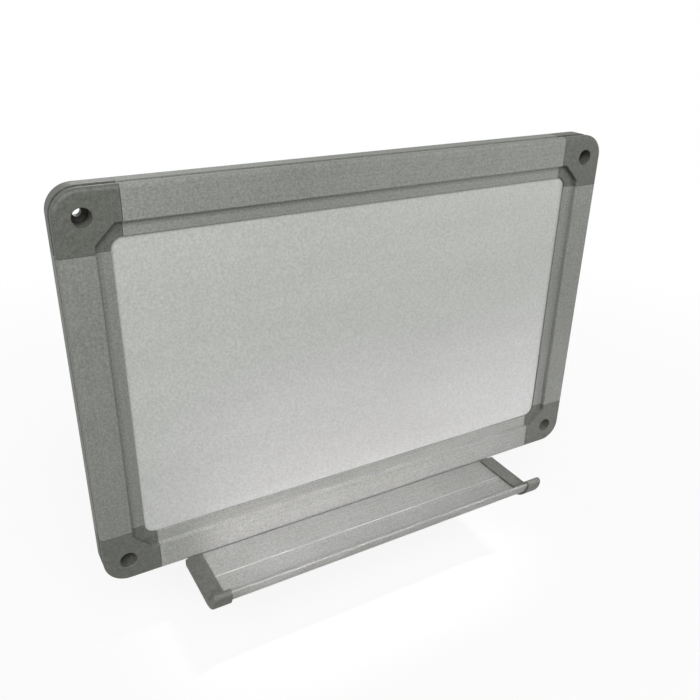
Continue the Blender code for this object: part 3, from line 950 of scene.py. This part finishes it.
@dataclass
class RailFrame:
    """The four hollow rails between the corner caps."""

    section: FrameSection
    finish: Material
    hollow_rounding: float = 0.0005
    countersink_diameter: float = 0.0068
    countersink_depth: float = 0.0017
    screw_hole_diameter: float = 0.0036
    sides: int = 40

    def hollows(self) -> list[np.ndarray]:
        """The hollows of a rail.

        Returns:
            Sections of the chamber for the corner legs and of the small chamber behind the slot.
        """
        section = self.section
        chamber = rounded_box(*section.chamber, self.hollow_rounding)
        low = (section.wall, section.slot_inside[1] + section.wall)
        small = rounded_box(low, (section.slot_depth, -section.rear_wall), self.hollow_rounding)
        return [chamber, small]

    def countersink(self, place: np.ndarray) -> Mesh:
        """Cutter for a screw's seat: a cone down to the hole through the back wall.

        Args:
            place: middle of the screw's head face.

        Returns:
            The cutter's mesh.
        """
        head = self.countersink_diameter / 2
        hole = self.screw_hole_diameter / 2
        bottom = -self.section.rear_wall - OVERRUN
        radii = np.array([0.0, head, head, hole, hole, 0.0])
        depths = np.array([OVERRUN, OVERRUN, 0.0, -self.countersink_depth, bottom, bottom])
        return solid("countersink", turned(radii, depths, place, self.sides))

    def build_rail(self, side: RailSide) -> None:
        """Build one rail.

        Args:
            side: which rail.
        """
        node, inwards, along = side.value
        low, high = (np.array(corner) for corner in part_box(node))
        outer = np.where(inwards > 0, low, high) * np.abs(inwards)
        ends = np.array([low @ along, high @ along])
        axes = (inwards, WALLWARD, along)
        rail = solid(node, carry(self.section.outline(Slot.UNDERCUT)[0], ends, axes, outer))
        past = ends + np.array([-OVERRUN, OVERRUN])
        tools = [solid("hollow", carry(hollow, past, axes, outer)) for hollow in self.hollows()]
        for place in map(screw_place, screw_nodes()):
            if np.all((low < place) & (place < high)):
                tools.append(self.countersink(place))
        mesh = combine(rail, tools, Joining.CUT)
        add_piece(node + "_extrusion", mesh, self.finish, BOARD_BODY, node)

    def build(self) -> None:
        """Build all four rails."""
        for side in RailSide:
            self.build_rail(side)


class Corner(Enum):
    """A corner of the board: its name, the directions inwards along X and Z, and its turn about Y."""

    BOTTOM_LEFT = ("bottom_left", 1, 1, 0.0)
    TOP_LEFT = ("top_left", 1, -1, math.pi / 2)
    TOP_RIGHT = ("top_right", -1, -1, math.pi)
    BOTTOM_RIGHT = ("bottom_right", -1, 1, -math.pi / 2)

    def placing(self) -> Matrix:
        """Placing of a cap that is modelled at the origin, with the board towards +X and +Z.

        Returns:
            A turn about Y and a move to this corner of the board.
        """
        _, side, level, turn = self.value
        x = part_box("left_rail")[0].x if side > 0 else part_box("right_rail")[1].x
        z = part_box("bottom_rail")[0].z if level > 0 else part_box("top_rail")[1].z
        return Matrix.Translation((x, 0.0, z)) @ Matrix.Rotation(turn, 4, "Y")


@dataclass
class CornerCaps:
    """The four moulded corners, with legs that push into the rails and a stepped hole for a wall screw."""

    section: FrameSection
    finish: Material
    corner_radius: float = 0.0180
    opening_radius: float = 0.0080
    face_chamfer: float = 0.0135
    seat_diameter: float = 0.0125
    seat_depth: float = 0.0160
    seat_lead: float = 0.0004
    seat_rounding: float = 0.0006
    hole_diameter: float = 0.0060
    end_wall: float = 0.0025
    front_wall: float = 0.0030
    pocket_wall: float = 0.0020
    pocket_rib: float = 0.0012
    pocket_rounding: float = 0.0008
    pocket_draft: float = 0.97
    boss_radius: float = 0.0090
    leg_length: float = 0.0250
    leg_chamfer: float = 0.0015
    pilot_diameter: float = 0.0036
    pilot_depth: float = 0.0126
    pilot_setback: float = 0.0120
    steps: int = 24
    seat_steps: int = 4
    sides: int = 64

    @property
    def size(self) -> float:
        """How far the cap's arms reach along the rails."""
        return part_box("top_rail")[0].x - FIT_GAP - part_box("left_rail")[0].x

    def corner_starts(self, outline: np.ndarray, paths: list[CornerPath]) -> np.ndarray:
        """How far along an arm each point of the section begins to turn round the corner.

        A round path turns where its circle starts. The slanted one turns where the raised face's chamfer,
        moved with the point, meets the arm. A square path turns at its own distance from the edge.

        Args:
            outline: n by 2 points of the section.
            paths: the path of each point.

        Returns:
            n distances from the board's corner.
        """
        u = outline[:, 0]
        raised = self.section.raised_width
        starts = {
            CornerPath.RIM: np.full_like(u, self.corner_radius),
            CornerPath.STEP: raised + self.face_chamfer - (raised - u) * (math.sqrt(2.0) - 1.0),
            CornerPath.OPENING: np.full_like(u, self.section.visible_width + self.opening_radius),
            CornerPath.SQUARE: u,
        }
        return np.array([starts[path][i] for i, path in enumerate(paths)])

    def body(self) -> Mesh:
        """The cap without its legs, holes and pockets.

        The section is carried from the end of one arm round the corner to the end of the other. With the
        corner's start k and the edge distance u, a point of the corner is (k - (k - u) * a, u + (k - u) * b).
        On a round path a is sin t and b is 1 - cos t, and on a straight one both are the share of the way.

        Returns:
            The cap's mesh.
        """
        outline, paths = self.section.outline(Slot.GROOVE)
        u, y = outline.T
        start = self.corner_starts(outline, paths)
        round_path = np.array([path in (CornerPath.RIM, CornerPath.OPENING) for path in paths])
        share = np.linspace(0.0, 1.0, self.steps + 1)[:, None]
        swing = np.where(round_path, np.sin(share * math.pi / 2), share)
        rise = np.where(round_path, 1 - np.cos(share * math.pi / 2), share)
        bend_x = start - (start - u) * swing
        bend_z = u + (start - u) * rise
        arm_end = np.full((1, len(u)), self.size)
        x = np.vstack((arm_end, bend_x, u[None]))
        z = np.vstack((u[None], bend_z, arm_end))
        rings = np.stack((x, np.broadcast_to(y, x.shape), z), axis=-1)
        return solid("corner_cap", np.concatenate((rings, rings[:, :1]), axis=1))

    def seat(self) -> Mesh:
        """Cutter for the stepped hole: a small lead, a deep seat with a rounded foot, and the way through.

        With t from 0 to a quarter turn, a point of the foot lies rounding * (1 - cos t) inside the seat's
        wall and rounding * (1 - sin t) before its floor.

        Returns:
            The cutter's mesh.
        """
        wide = self.seat_diameter / 2
        hole = self.hole_diameter / 2
        front = self.section.front
        floor = front + self.seat_depth
        before = front - OVERRUN
        turn = np.linspace(0.0, math.pi / 2, self.seat_steps + 1)
        foot_radii = wide - self.seat_rounding * (1 - np.cos(turn))
        foot_depths = floor - self.seat_rounding * (1 - np.sin(turn))
        lead = self.seat_lead
        radii = [0.0, wide + lead + OVERRUN, wide, *foot_radii, hole, hole, hole + lead + OVERRUN, 0.0]
        depths = [before, before, front + lead, *foot_depths, floor, -lead, OVERRUN, OVERRUN]
        centre = np.array([self.corner_radius, 0.0, self.corner_radius])
        return solid("screw_seat", turned(np.array(radii), np.array(depths), centre, self.sides))

    def pockets(self, along: np.ndarray, across: np.ndarray) -> list[Mesh]:
        """Cutters for the two hollows behind an arm, with a rib between them and a little draft.

        Args:
            along: unit vector along the arm.
            across: unit vector across it.

        Returns:
            The two cutters.
        """
        first = self.corner_radius + self.boss_radius
        last = self.size - self.end_wall
        middle = (first + last) / 2
        low = self.section.groove_depth + self.pocket_wall
        high = self.section.channel_floor - self.pocket_wall
        floor = self.section.front + self.front_wall
        cutters = []
        for start, end in ((first, middle - self.pocket_rib / 2), (middle + self.pocket_rib / 2, last)):
            half = np.array([(end - start) / 2, (high - low) / 2])
            outline = rounded_box(tuple(-half), tuple(half), self.pocket_rounding)
            origin = along * (start + end) / 2 + across * (low + high) / 2
            rings = carry(
                outline,
                np.array([floor, 0.0, OVERRUN]),
                (along, across, WALLWARD),
                origin,
                np.array([self.pocket_draft, 1.0, 1.0]),
            )
            cutters.append(solid("pocket", rings))
        return cutters

    def leg(self, along: np.ndarray, across: np.ndarray) -> Mesh:
        """The leg at the end of an arm, with a chamfered tip.

        Args:
            along: unit vector along the arm.
            across: unit vector across it.

        Returns:
            The leg's mesh.
        """
        low, high = np.array(self.section.chamber)
        low, high = low + FIT_GAP, high - FIT_GAP
        half = (high - low) / 2
        middle = (high + low) / 2
        tip = self.size + self.leg_length
        stations = np.array([self.size - self.end_wall / 2, tip - self.leg_chamfer, tip])
        scales = np.array([1.0, 1.0, 1.0 - self.leg_chamfer / half.min()])
        origin = across * middle[0] + WALLWARD * middle[1]
        outline = rounded_box(tuple(-half), tuple(half), self.pocket_rounding)
        return solid("leg", carry(outline, stations, (across, WALLWARD, along), origin, scales))

    def pilot(self, along: np.ndarray, across: np.ndarray) -> Mesh:
        """Cutter for the hole in a leg that a corner screw bites into.

        Args:
            along: unit vector along the arm.
            across: unit vector across it.

        Returns:
            The cutter's mesh.
        """
        low, high = self.section.chamber
        radius = self.pilot_diameter / 2
        centre = along * (self.size + self.pilot_setback) + across * (high[0] + low[0]) / 2
        radii = np.array([0.0, radius, radius, 0.0])
        depths = np.array([-self.pilot_depth, -self.pilot_depth, OVERRUN, OVERRUN])
        return solid("pilot", turned(radii, depths, centre, self.sides // 2))

    def build(self) -> None:
        """Make one cap and set a copy of it at each corner of the board."""
        arms = ((RIGHT, UP), (UP, RIGHT))
        pockets = [cutter for along, across in arms for cutter in self.pockets(along, across)]
        hollow = combine(self.body(), [self.seat(), *pockets], Joining.CUT)
        legged = combine(hollow, [self.leg(*arm) for arm in arms], Joining.ADD)
        cap = combine(legged, [self.pilot(*arm) for arm in arms], Joining.CUT)
        for corner in Corner:
            node = "corner_cap_" + corner.value[0]
            mesh = cap.copy()
            mesh.transform(corner.placing())
            add_piece(node + "_moulding", mesh, self.finish, BOARD_BODY, node)


@dataclass
class CornerScrews:
    """Eight countersunk self-tapping screws that hold the rails to the legs of the caps."""

    finish: Material
    head_diameter: float = 0.0062
    head_height: float = 0.0017
    head_rim: float = 0.0002
    shank_diameter: float = 0.0030
    length: float = 0.0120
    point_length: float = 0.0025
    point_diameter: float = 0.0008
    pitch: float = 0.0011
    thread_depth: float = 0.00035
    recess_length: float = 0.0034
    recess_width: float = 0.0007
    recess_depth: float = 0.0010
    recess_taper: float = 0.55
    # Each screw stopped at its own angle: this many radians more than the one before it
    turn_between: float = 0.8
    rows: int = 90
    sides: int = 28

    def shank(self, place: np.ndarray) -> Mesh:
        """The turned screw with its thread.

        The radius follows the profile, less a V that winds round: its depth is the distance of
        (place along the shank / pitch - turn) from the nearest whole number, and fades out at both ends.

        Args:
            place: middle of the head face.

        Returns:
            The screw's mesh, without its recess.
        """
        head = self.head_diameter / 2
        core = self.shank_diameter / 2
        straight = self.length - self.point_length
        shank = np.linspace(self.head_height, self.length, self.rows)
        depth = np.concatenate(([0.0, 0.0, self.head_rim], shank, [self.length]))
        knots = [0.0, self.head_rim, self.head_height, straight, self.length]
        values = [head, head, core, core, self.point_diameter / 2]
        radii = np.interp(depth, knots, values)
        radii[[0, -1]] = 0.0
        turn = np.linspace(0.0, 1.0, self.sides + 1)
        wound = depth[:, None] / self.pitch - turn
        groove = 2 * np.abs(wound - np.round(wound))
        ends = [self.head_height, self.head_height + self.pitch, straight, self.length]
        fade = np.interp(depth, ends, [0, 1, 1, 0])
        thread = -self.thread_depth * fade[:, None] * groove
        return solid("corner_screw", turned(radii, -depth, place, self.sides, thread))

    def recess(self, place: np.ndarray, angle: float) -> Mesh:
        """Cutter for the cross recess, which narrows downwards.

        Args:
            place: middle of the head face.
            angle: turn of the cross about the screw.

        Returns:
            The cutter's mesh.
        """
        arm = np.array([(1.0, 0.0), (0.0, 1.0), (-1.0, 0.0), (0.0, -1.0)])
        side = np.roll(arm, -1, axis=0)
        reach = self.recess_length / 2
        half = self.recess_width / 2
        right = arm * reach - side * half
        left = arm * reach + side * half
        inner = (arm + side) * half
        cross = np.stack((right, left, inner), axis=1).reshape(-1, 2)
        first = math.cos(angle) * RIGHT + math.sin(angle) * UP
        second = math.cos(angle) * UP - math.sin(angle) * RIGHT
        stations = np.array([-self.recess_depth, 0.0, OVERRUN])
        scales = np.array([self.recess_taper, 1.0, 1.0])
        return solid("recess", carry(cross, stations, (first, second, WALLWARD), place, scales))

    def build(self) -> None:
        """Build a screw in place of each screw node."""
        for number, node in enumerate(screw_nodes()):
            place = screw_place(node)
            mesh = combine(self.shank(place), [self.recess(place, number * self.turn_between)], Joining.CUT)
            add_piece(node + "_threaded", mesh, self.finish, BOARD_BODY, node)


# Panel


@dataclass
class Panel:
    """The lacquered writing sheet, the core behind it, and the galvanised sheet that closes the back."""

    lacquer: Material
    galvanised: Material
    fibreboard: Material
    # A thin sheet is never quite flat: height of its waves, and how many cross the board each way
    wave_height: float = 0.00006
    waves: tuple[float, float] = (2.3, 1.6)
    cells: tuple[int, int] = (60, 40)

    def wavy_sheet(self, node: str, sign: float) -> Mesh:
        """A thin sheet that fills its node's box, with its outer face slightly wavy.

        The outer face is set back from the box by wave height * (1 - sin a * sin b) / 2, where a and b are
        the turns of the waves across and up the board. The other face is flat.

        Args:
            node: the node whose box it fills.
            sign: -1 where the outer face looks to the front, 1 where it looks to the wall.

        Returns:
            The mesh.
        """
        low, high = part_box(node)
        share_x = np.linspace(0.0, 1.0, self.cells[0] + 1)
        share_z = np.linspace(0.0, 1.0, self.cells[1] + 1)
        across = low.x + share_x * (high.x - low.x)
        upwards = low.z + share_z * (high.z - low.z)
        x, z = np.meshgrid(across, upwards, indexing="ij")
        swell = np.outer(
            np.sin(2 * math.pi * self.waves[0] * share_x), np.sin(2 * math.pi * self.waves[1] * share_z)
        )
        outer_y, inner_y = (low.y, high.y) if sign < 0 else (high.y, low.y)
        outer = np.stack((x, outer_y - sign * self.wave_height * (1 - swell) / 2, z), axis=-1)
        inner = np.stack((x, np.full_like(x, inner_y), z), axis=-1)
        shell = Shell().grid(outer).grid(inner)
        for edge in (np.s_[0], np.s_[-1], np.s_[:, 0], np.s_[:, -1]):
            shell.grid(np.stack((outer[edge], inner[edge])))
        return shell.mesh(node)

    def build(self) -> None:
        """Build both sheets, and dress the core, which keeps its own solid."""
        for node, sign, finish, ending, slot in (
            ("writing_sheet", -1.0, self.lacquer, "_lacquered", "lacquered_steel"),
            ("backing_sheet", 1.0, self.galvanised, "_galvanised", "galvanised_steel"),
        ):
            add_piece(node + ending, self.wavy_sheet(node, sign), finish, BOARD_BODY, node)
        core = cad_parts["core_panel"]
        core.data.materials.clear()
        core.data.materials.append(self.fibreboard)
        LOG.info("core_panel: keeps its solid")


# Pen tray


@dataclass
class PenTray:
    """The aluminium tray with its fine ridge and upturned lip, and the plastic sleeves on its ends."""

    section: FrameSection
    metal: Material
    plastic: Material
    floor_thickness: float = 0.0020
    floor_reach: float = 0.0440
    rear_reach: float = 0.0140
    lip_radius: float = 0.0200
    lip_thickening: float = 0.0012
    lip_turn: float = math.radians(74.0)
    ridge_reach: float = 0.0283
    ridge_width: float = 0.0010
    ridge_height: float = 0.0008
    # Share of the ridge's height that its foot takes, which gets no painted highlight
    ridge_foot: float = 0.125
    # Strength of the painted highlight along the top of the lip, against the ridge's 1, and how far down from
    # the top it reaches
    lip_highlight: float = 0.15
    lip_highlight_height: float = 0.0004
    tongue_thickness: float = 0.0016
    foot_play: float = 0.0015
    foot_thickness: float = 0.0016
    edge_rounding: float = 0.0004
    tongue_rounding: float = 0.0002
    cap_length: float = 0.0140
    cap_end_wall: float = 0.0030
    cap_wall: float = 0.0017
    cap_setback: float = 0.0010
    cap_rounding: float = 0.0010
    lip_steps: int = 36
    tip_steps: int = 12
    rounding_steps: int = 6

    @property
    def floor_top(self) -> float:
        """Height of the tray's floor above the board's lower edge."""
        return -FIT_GAP

    def lip_thickness(self, turn: np.ndarray) -> np.ndarray:
        """Thickness of the lip: the floor's at both ends, and the full thickening more halfway up.

        Args:
            turn: angles about the lip's centre.

        Returns:
            The thickness at each of them.
        """
        return self.floor_thickness + self.lip_thickening * np.sin(math.pi * turn / self.lip_turn)

    def lip_side(self, radius: np.ndarray, turn: np.ndarray) -> np.ndarray:
        """Points up the lip: radius times (sin, -cos) of the turn about its centre over the floor's end.

        Args:
            radius: distances from the lip's centre.
            turn: angles about it.

        Returns:
            n by 2 points: reach in front of the front face, and height above the board's lower edge.
        """
        reach = self.floor_reach + radius * np.sin(turn)
        return np.column_stack((reach, self.floor_top + self.lip_radius - radius * np.cos(turn)))

    def floor_and_lip(self, grow: float, rear_reach: float, with_ridge: bool) -> np.ndarray:
        """Section of the floor and lip, from the rear end under the floor to the rear end on top of it.

        Args:
            grow: how far the outline lies outside the metal.
            rear_reach: reach of the rear end in front of the board's front face.
            with_ridge: whether the ridge is part of it.

        Returns:
            n by 2 points: reach in front of the front face, and height above the board's lower edge.
        """
        turn = np.linspace(0.0, self.lip_turn, self.lip_steps + 1)
        outer = self.lip_side(self.lip_radius + self.lip_thickness(turn) + grow, turn)
        inner = self.lip_side(np.full_like(turn, self.lip_radius - grow), turn)[::-1]
        swing = np.linspace(0.0, math.pi, self.tip_steps + 1)[1:-1]
        half = self.floor_thickness / 2
        out = self.lip_radius + half + (half + grow) * np.cos(swing)
        on = (half + grow) * np.sin(swing)
        ahead = np.array([math.cos(self.lip_turn), math.sin(self.lip_turn)])
        tip = self.lip_side(out, np.full_like(out, self.lip_turn)) + on[:, None] * ahead
        top = self.floor_top + grow
        parts = [[(rear_reach, self.floor_top - self.floor_thickness - grow)], outer, tip, inner]
        if with_ridge:
            swing = np.linspace(0.0, math.pi, self.tip_steps + 1)
            reach = self.ridge_reach + (self.ridge_width / 2 + grow) * np.cos(swing)
            parts.append(np.column_stack((reach, top + self.ridge_height * np.sin(swing))))
        return np.vstack((*parts, [(rear_reach, top)]))

    def tongue(self) -> np.ndarray:
        """Section of the tongue and its foot.

        Returns:
            8 by 2 corners, from front to back: reach in front of the front face, and height.
        """
        slot_bottom = self.section.slot_lip + FIT_GAP
        foot_top = slot_bottom + self.foot_thickness
        mouth_front, mouth_back = self.section.mouth
        middle = (mouth_front + mouth_back) / 2
        foot = self.section.slot_inner / 2 - self.foot_play
        web_front = mouth_front + FIT_GAP
        web_back = web_front + self.tongue_thickness
        rows = [
            (web_front, self.floor_top),
            (web_front, slot_bottom),
            (middle - foot, slot_bottom),
            (middle - foot, foot_top),
            (middle + foot, foot_top),
            (middle + foot, slot_bottom),
            (web_back, slot_bottom),
            (web_back, self.floor_top),
        ]
        return np.array([(self.section.front - y, height) for y, height in rows])

    def in_space(self, outline: np.ndarray, stations: np.ndarray) -> np.ndarray:
        """Carry a section of reach and height along the board.

        Args:
            outline: n by 2 points.
            stations: m places along X.

        Returns:
            m by n + 1 by 3 places.
        """
        origin = np.array([0.0, self.section.front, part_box("bottom_rail")[0].z])
        return carry(outline, stations, (-WALLWARD, UP, RIGHT), origin)

    def build_tray(self) -> None:
        """Build the metal tray with its tongue."""
        low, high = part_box("pen_tray")
        body = self.floor_and_lip(0.0, -self.rear_reach, True)
        tongue = self.tongue()
        corners = np.vstack((body[:-1], tongue, body[-1:]))
        radii = np.zeros(len(corners))
        radii[[0, -1]] = self.edge_rounding
        radii[-1 - len(tongue) : -1] = self.tongue_rounding
        outline, _ = rounded_outline(corners, radii, self.rounding_steps)
        reach, height = outline.T
        # Painted highlights: full on the ridge's crest, weaker along the top of the lip
        foot_top = self.floor_top + self.ridge_height * self.ridge_foot
        on_ridge = (height > foot_top) & (reach < self.floor_reach)
        on_lip = height > height.max() - self.lip_highlight_height
        painted_highlight = np.where(on_lip, self.lip_highlight, on_ridge.astype(float))
        tray = solid("pen_tray", self.in_space(outline, np.array([low.x, high.x])), painted_highlight)
        add_piece("pen_tray_extrusion", tray, self.metal, TRAY_BODY, "pen_tray")

    def build_end_cap(self, node: str, side: int) -> None:
        """Build the sleeve on one end of the tray.

        Its outer end is rounded: with t from 0 to a quarter turn, the section shrinks by
        rounding * (1 - cos t) while the station runs out to rounding * sin t.

        Args:
            node: the sleeve's node.
            side: -1 for the left end and 1 for the right.
        """
        low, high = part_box("pen_tray")
        end = (low.x if side < 0 else high.x) + side * FIT_GAP
        outer = end + side * self.cap_end_wall
        inner = outer - side * self.cap_length
        t = np.linspace(0.0, math.pi / 2, self.rounding_steps + 1)
        shrink = np.concatenate(([0.0], self.cap_rounding * (1 - np.cos(t))))
        stations = np.concatenate(([inner], outer - side * self.cap_rounding * (1 - np.sin(t))))
        full = FIT_GAP + self.cap_wall
        rings = []
        for less, station in zip(shrink, stations):
            outline = self.floor_and_lip(full - less, self.cap_setback + less, False)
            rings.append(self.in_space(outline, np.array([station])))
        cavity_outline = self.floor_and_lip(FIT_GAP, self.cap_setback - OVERRUN, True)
        cavity = solid("cavity", self.in_space(cavity_outline, np.array([end, inner - side * OVERRUN])))
        cap = combine(solid(node, np.concatenate(rings)), [cavity], Joining.CUT)
        add_piece(node + "_moulding", cap, self.plastic, TRAY_BODY, node)

    def build(self) -> None:
        """Build the tray and both of its end caps."""
        self.build_tray()
        self.build_end_cap("tray_end_cap_left", -1)
        self.build_end_cap("tray_end_cap_right", 1)


# Studio

# What the large lamps are aimed at
BOARD_MIDDLE = (0.0, 0.0, -0.14)
# The small lamps are faintly pink, against the green that aluminium gives to light that it throws back
PINK = "#FBF3FF"


@dataclass(frozen=True)
class Lamp:
    """A lit rectangle: place, target, width and height, power in watts, beam in degrees and colour."""

    name: str
    place: tuple[float, float, float]
    target: tuple[float, float, float]
    size: tuple[float, float]
    power: float
    beam: float = 180.0
    colour: str = "#FFFFFF"

    def hang(self) -> None:
        """Put the lamp in the scene."""
        light = bpy.data.lights.new(self.name, "AREA")
        light.shape = "RECTANGLE"
        light.size, light.size_y = self.size
        light.energy = self.power
        light.spread = math.radians(self.beam)
        light.color = linear_colour(self.colour)[:3]
        holder = bpy.data.objects.new(self.name, light)
        bpy.context.scene.collection.objects.link(holder)
        holder.location = self.place
        holder.rotation_mode = "QUATERNION"
        holder.rotation_quaternion = (Vector(self.target) - holder.location).to_track_quat("-Z", "Y")


@dataclass
class Studio:
    """Pale floor, soft light, white surroundings and the camera. None of it is part of the board."""

    floor_colour: str = "#F2F3F1"
    # Share of the paper's own shading near the board, and where it begins and ends to fade into white
    floor_share: float = 0.15
    floor_fade: tuple[float, float] = (0.45, 1.1)
    floor_drop: float = 0.10
    floor_reach: float = 4.0
    fill_colour: str = "#F4F6F7"
    fill_strength: float = 0.15
    # The last three are small and narrow, for the light that tray and bottom rail throw at each other
    lamps: tuple[Lamp, ...] = (
        Lamp("key_lamp", (-0.9, -2.15, 1.9), BOARD_MIDDLE, (2.2, 1.4), 90.0),
        Lamp("rear_lamp", (0.6, 2.6, 0.15), BOARD_MIDDLE, (1.2, 1.2), 28.0),
        Lamp("left_lamp", (-1.5, -1.3, 0.1), BOARD_MIDDLE, (0.8, 0.8), 3.2),
        Lamp("right_lamp", (1.2, -1.2, 0.1), BOARD_MIDDLE, (0.8, 0.8), 4.4),
        Lamp("tray_lamp", (0.0, -0.45, 0.6), (0.0, -0.05, -0.28), (0.30, 0.02), 0.134, 14.0, PINK),
        Lamp("low_lamp", (-0.002, -0.85, -0.08), (-0.002, -0.022, -0.276), (0.28, 0.02), 0.025, 3.8, PINK),
        Lamp("low_right_lamp", (0.45, -0.8, -0.05), (0.21, -0.022, -0.24), (0.12, 0.12), 0.0255, 16.0, PINK),
    )
    # The camera, as measured on the photograph: focal length and width of the picture in pixels
    focal_pixels: float = 768.0
    picture_pixels: float = 700.0
    sensor_width: float = 36.0
    camera_place: tuple[float, float, float] = (-0.29162, -0.49183, 0.12729)
    yaw: float = 0.5264
    pitch: float = 0.4525
    roll: float = -0.0210

    @staticmethod
    def seen_white(tree: NodeTree) -> NodeSocket:
        """Tell the rays that show white surroundings from those that only light the board.

        Args:
            tree: the node tree.

        Returns:
            The output, 1 for a ray from the camera, in a reflection or through glass, and 0 for the rest.
        """
        path = add_node(tree, "LightPath").outputs
        seen = path["Is Camera Ray"]
        for kind in ("Is Glossy Ray", "Is Transmission Ray"):
            seen = add_node(tree, "Math", {0: seen, 1: path[kind]}, operation="MAXIMUM").outputs["Value"]
        return seen

    def light_surroundings(self) -> None:
        """White to the camera and in reflections, and a soft even fill for the rest."""
        world = bpy.data.worlds.new("white_surroundings")
        bpy.context.scene.world = world
        world.use_nodes = True
        tree = world.node_tree
        tree.nodes.clear()
        soft = {"Color": linear_colour(self.fill_colour), "Strength": self.fill_strength}
        fill = add_node(tree, "Background", soft)
        white = add_node(tree, "Background", {"Color": WHITE, "Strength": 1.0})
        shaders = {0: self.seen_white(tree), 1: fill.outputs["Background"], 2: white.outputs["Background"]}
        mixed = add_node(tree, "MixShader", shaders)
        add_node(tree, "OutputWorld", {"Surface": mixed.outputs["Shader"]})

    def lay_floor(self) -> None:
        """Lay a pale floor that takes the board's shadow. It is clear from below and throws no light up."""
        reach = np.array([-self.floor_reach, self.floor_reach])
        x, y = np.meshgrid(reach, reach, indexing="ij")
        z = np.full_like(x, cad_box[0].z - self.floor_drop)
        mesh = Shell().grid(np.stack((x, y, z), axis=-1)).mesh("studio_floor")
        if mesh.polygons[0].normal.z < 0:
            mesh.flip_normals()
        floor = bpy.data.objects.new("studio_floor", mesh)
        bpy.context.scene.collection.objects.link(floor)
        material = bpy.data.materials.new("studio_floor_paper")
        material.use_nodes = True
        tree = material.node_tree
        tree.nodes.clear()
        paper = add_node(tree, "BsdfDiffuse", {"Color": linear_colour(self.floor_colour)}).outputs["BSDF"]
        glow = add_node(tree, "Emission", {"Color": WHITE, "Strength": 1.0}).outputs["Emission"]
        place = add_node(tree, "TexCoord").outputs["Object"]
        away = add_node(tree, "VectorMath", {0: place}, operation="LENGTH").outputs["Value"]
        near, far = self.floor_fade
        fade = {"Value": away, "From Min": near, "From Max": far, "To Min": self.floor_share, "To Max": 0.0}
        share = add_node(tree, "MapRange", fade).outputs["Result"]
        bright = add_node(tree, "MixShader", {0: share, 1: glow, 2: paper}).outputs["Shader"]
        clear = add_node(tree, "BsdfTransparent").outputs["BSDF"]
        above = add_node(tree, "MixShader", {0: self.seen_white(tree), 1: clear, 2: bright}).outputs["Shader"]
        under = add_node(tree, "NewGeometry").outputs["Backfacing"]
        whole = add_node(tree, "MixShader", {0: under, 1: above, 2: clear}).outputs["Shader"]
        add_node(tree, "OutputMaterial", {"Surface": whole})
        floor.data.materials.append(material)

    def set_camera(self) -> None:
        """Stand the camera where the photograph was taken from.

        It looks along (sin yaw cos pitch, cos yaw cos pitch, -sin pitch). Its sideways and downward axes
        are the level ones turned by the roll.
        """
        look = Vector(
            (
                math.sin(self.yaw) * math.cos(self.pitch),
                math.cos(self.yaw) * math.cos(self.pitch),
                -math.sin(self.pitch),
            )
        )
        level = Vector((math.cos(self.yaw), -math.sin(self.yaw), 0.0))
        down = look.cross(level)
        sideways = math.cos(self.roll) * level + math.sin(self.roll) * down
        downward = math.cos(self.roll) * down - math.sin(self.roll) * level
        camera = bpy.data.cameras.new("camera")
        camera.sensor_width = self.sensor_width
        camera.lens = self.focal_pixels / self.picture_pixels * self.sensor_width
        holder = bpy.data.objects.new("camera", camera)
        bpy.context.scene.collection.objects.link(holder)
        turn = Matrix((sideways, -downward, -look)).transposed().to_4x4()
        holder.matrix_world = Matrix.Translation(self.camera_place) @ turn
        bpy.context.scene.camera = holder

    def build(self) -> None:
        """Set up light, floor and camera."""
        bpy.context.scene.view_settings.view_transform = "Standard"
        self.set_camera()
        self.light_surroundings()
        self.lay_floor()
        for lamp in self.lamps:
            lamp.hang()
        LOG.info("studio: camera, surroundings, floor and %d lamps", len(self.lamps))


def main() -> None:
    """Build the board, piece by piece, and the studio round it."""
    logging.basicConfig(level=logging.INFO, format="%(name)s: %(message)s")
    section = FrameSection()
    aluminium = AnodisedAluminium().material()
    plastic = MouldedABS().material()
    Panel(LacqueredSteel().material(), GalvanisedSteel().material(), Fibreboard().material()).build()
    RailFrame(section, aluminium).build()
    CornerCaps(section, plastic).build()
    CornerScrews(ZincPlatedSteel().material()).build()
    PenTray(section, aluminium, plastic).build()
    Studio().build()


if __name__ == "__main__":
    main()
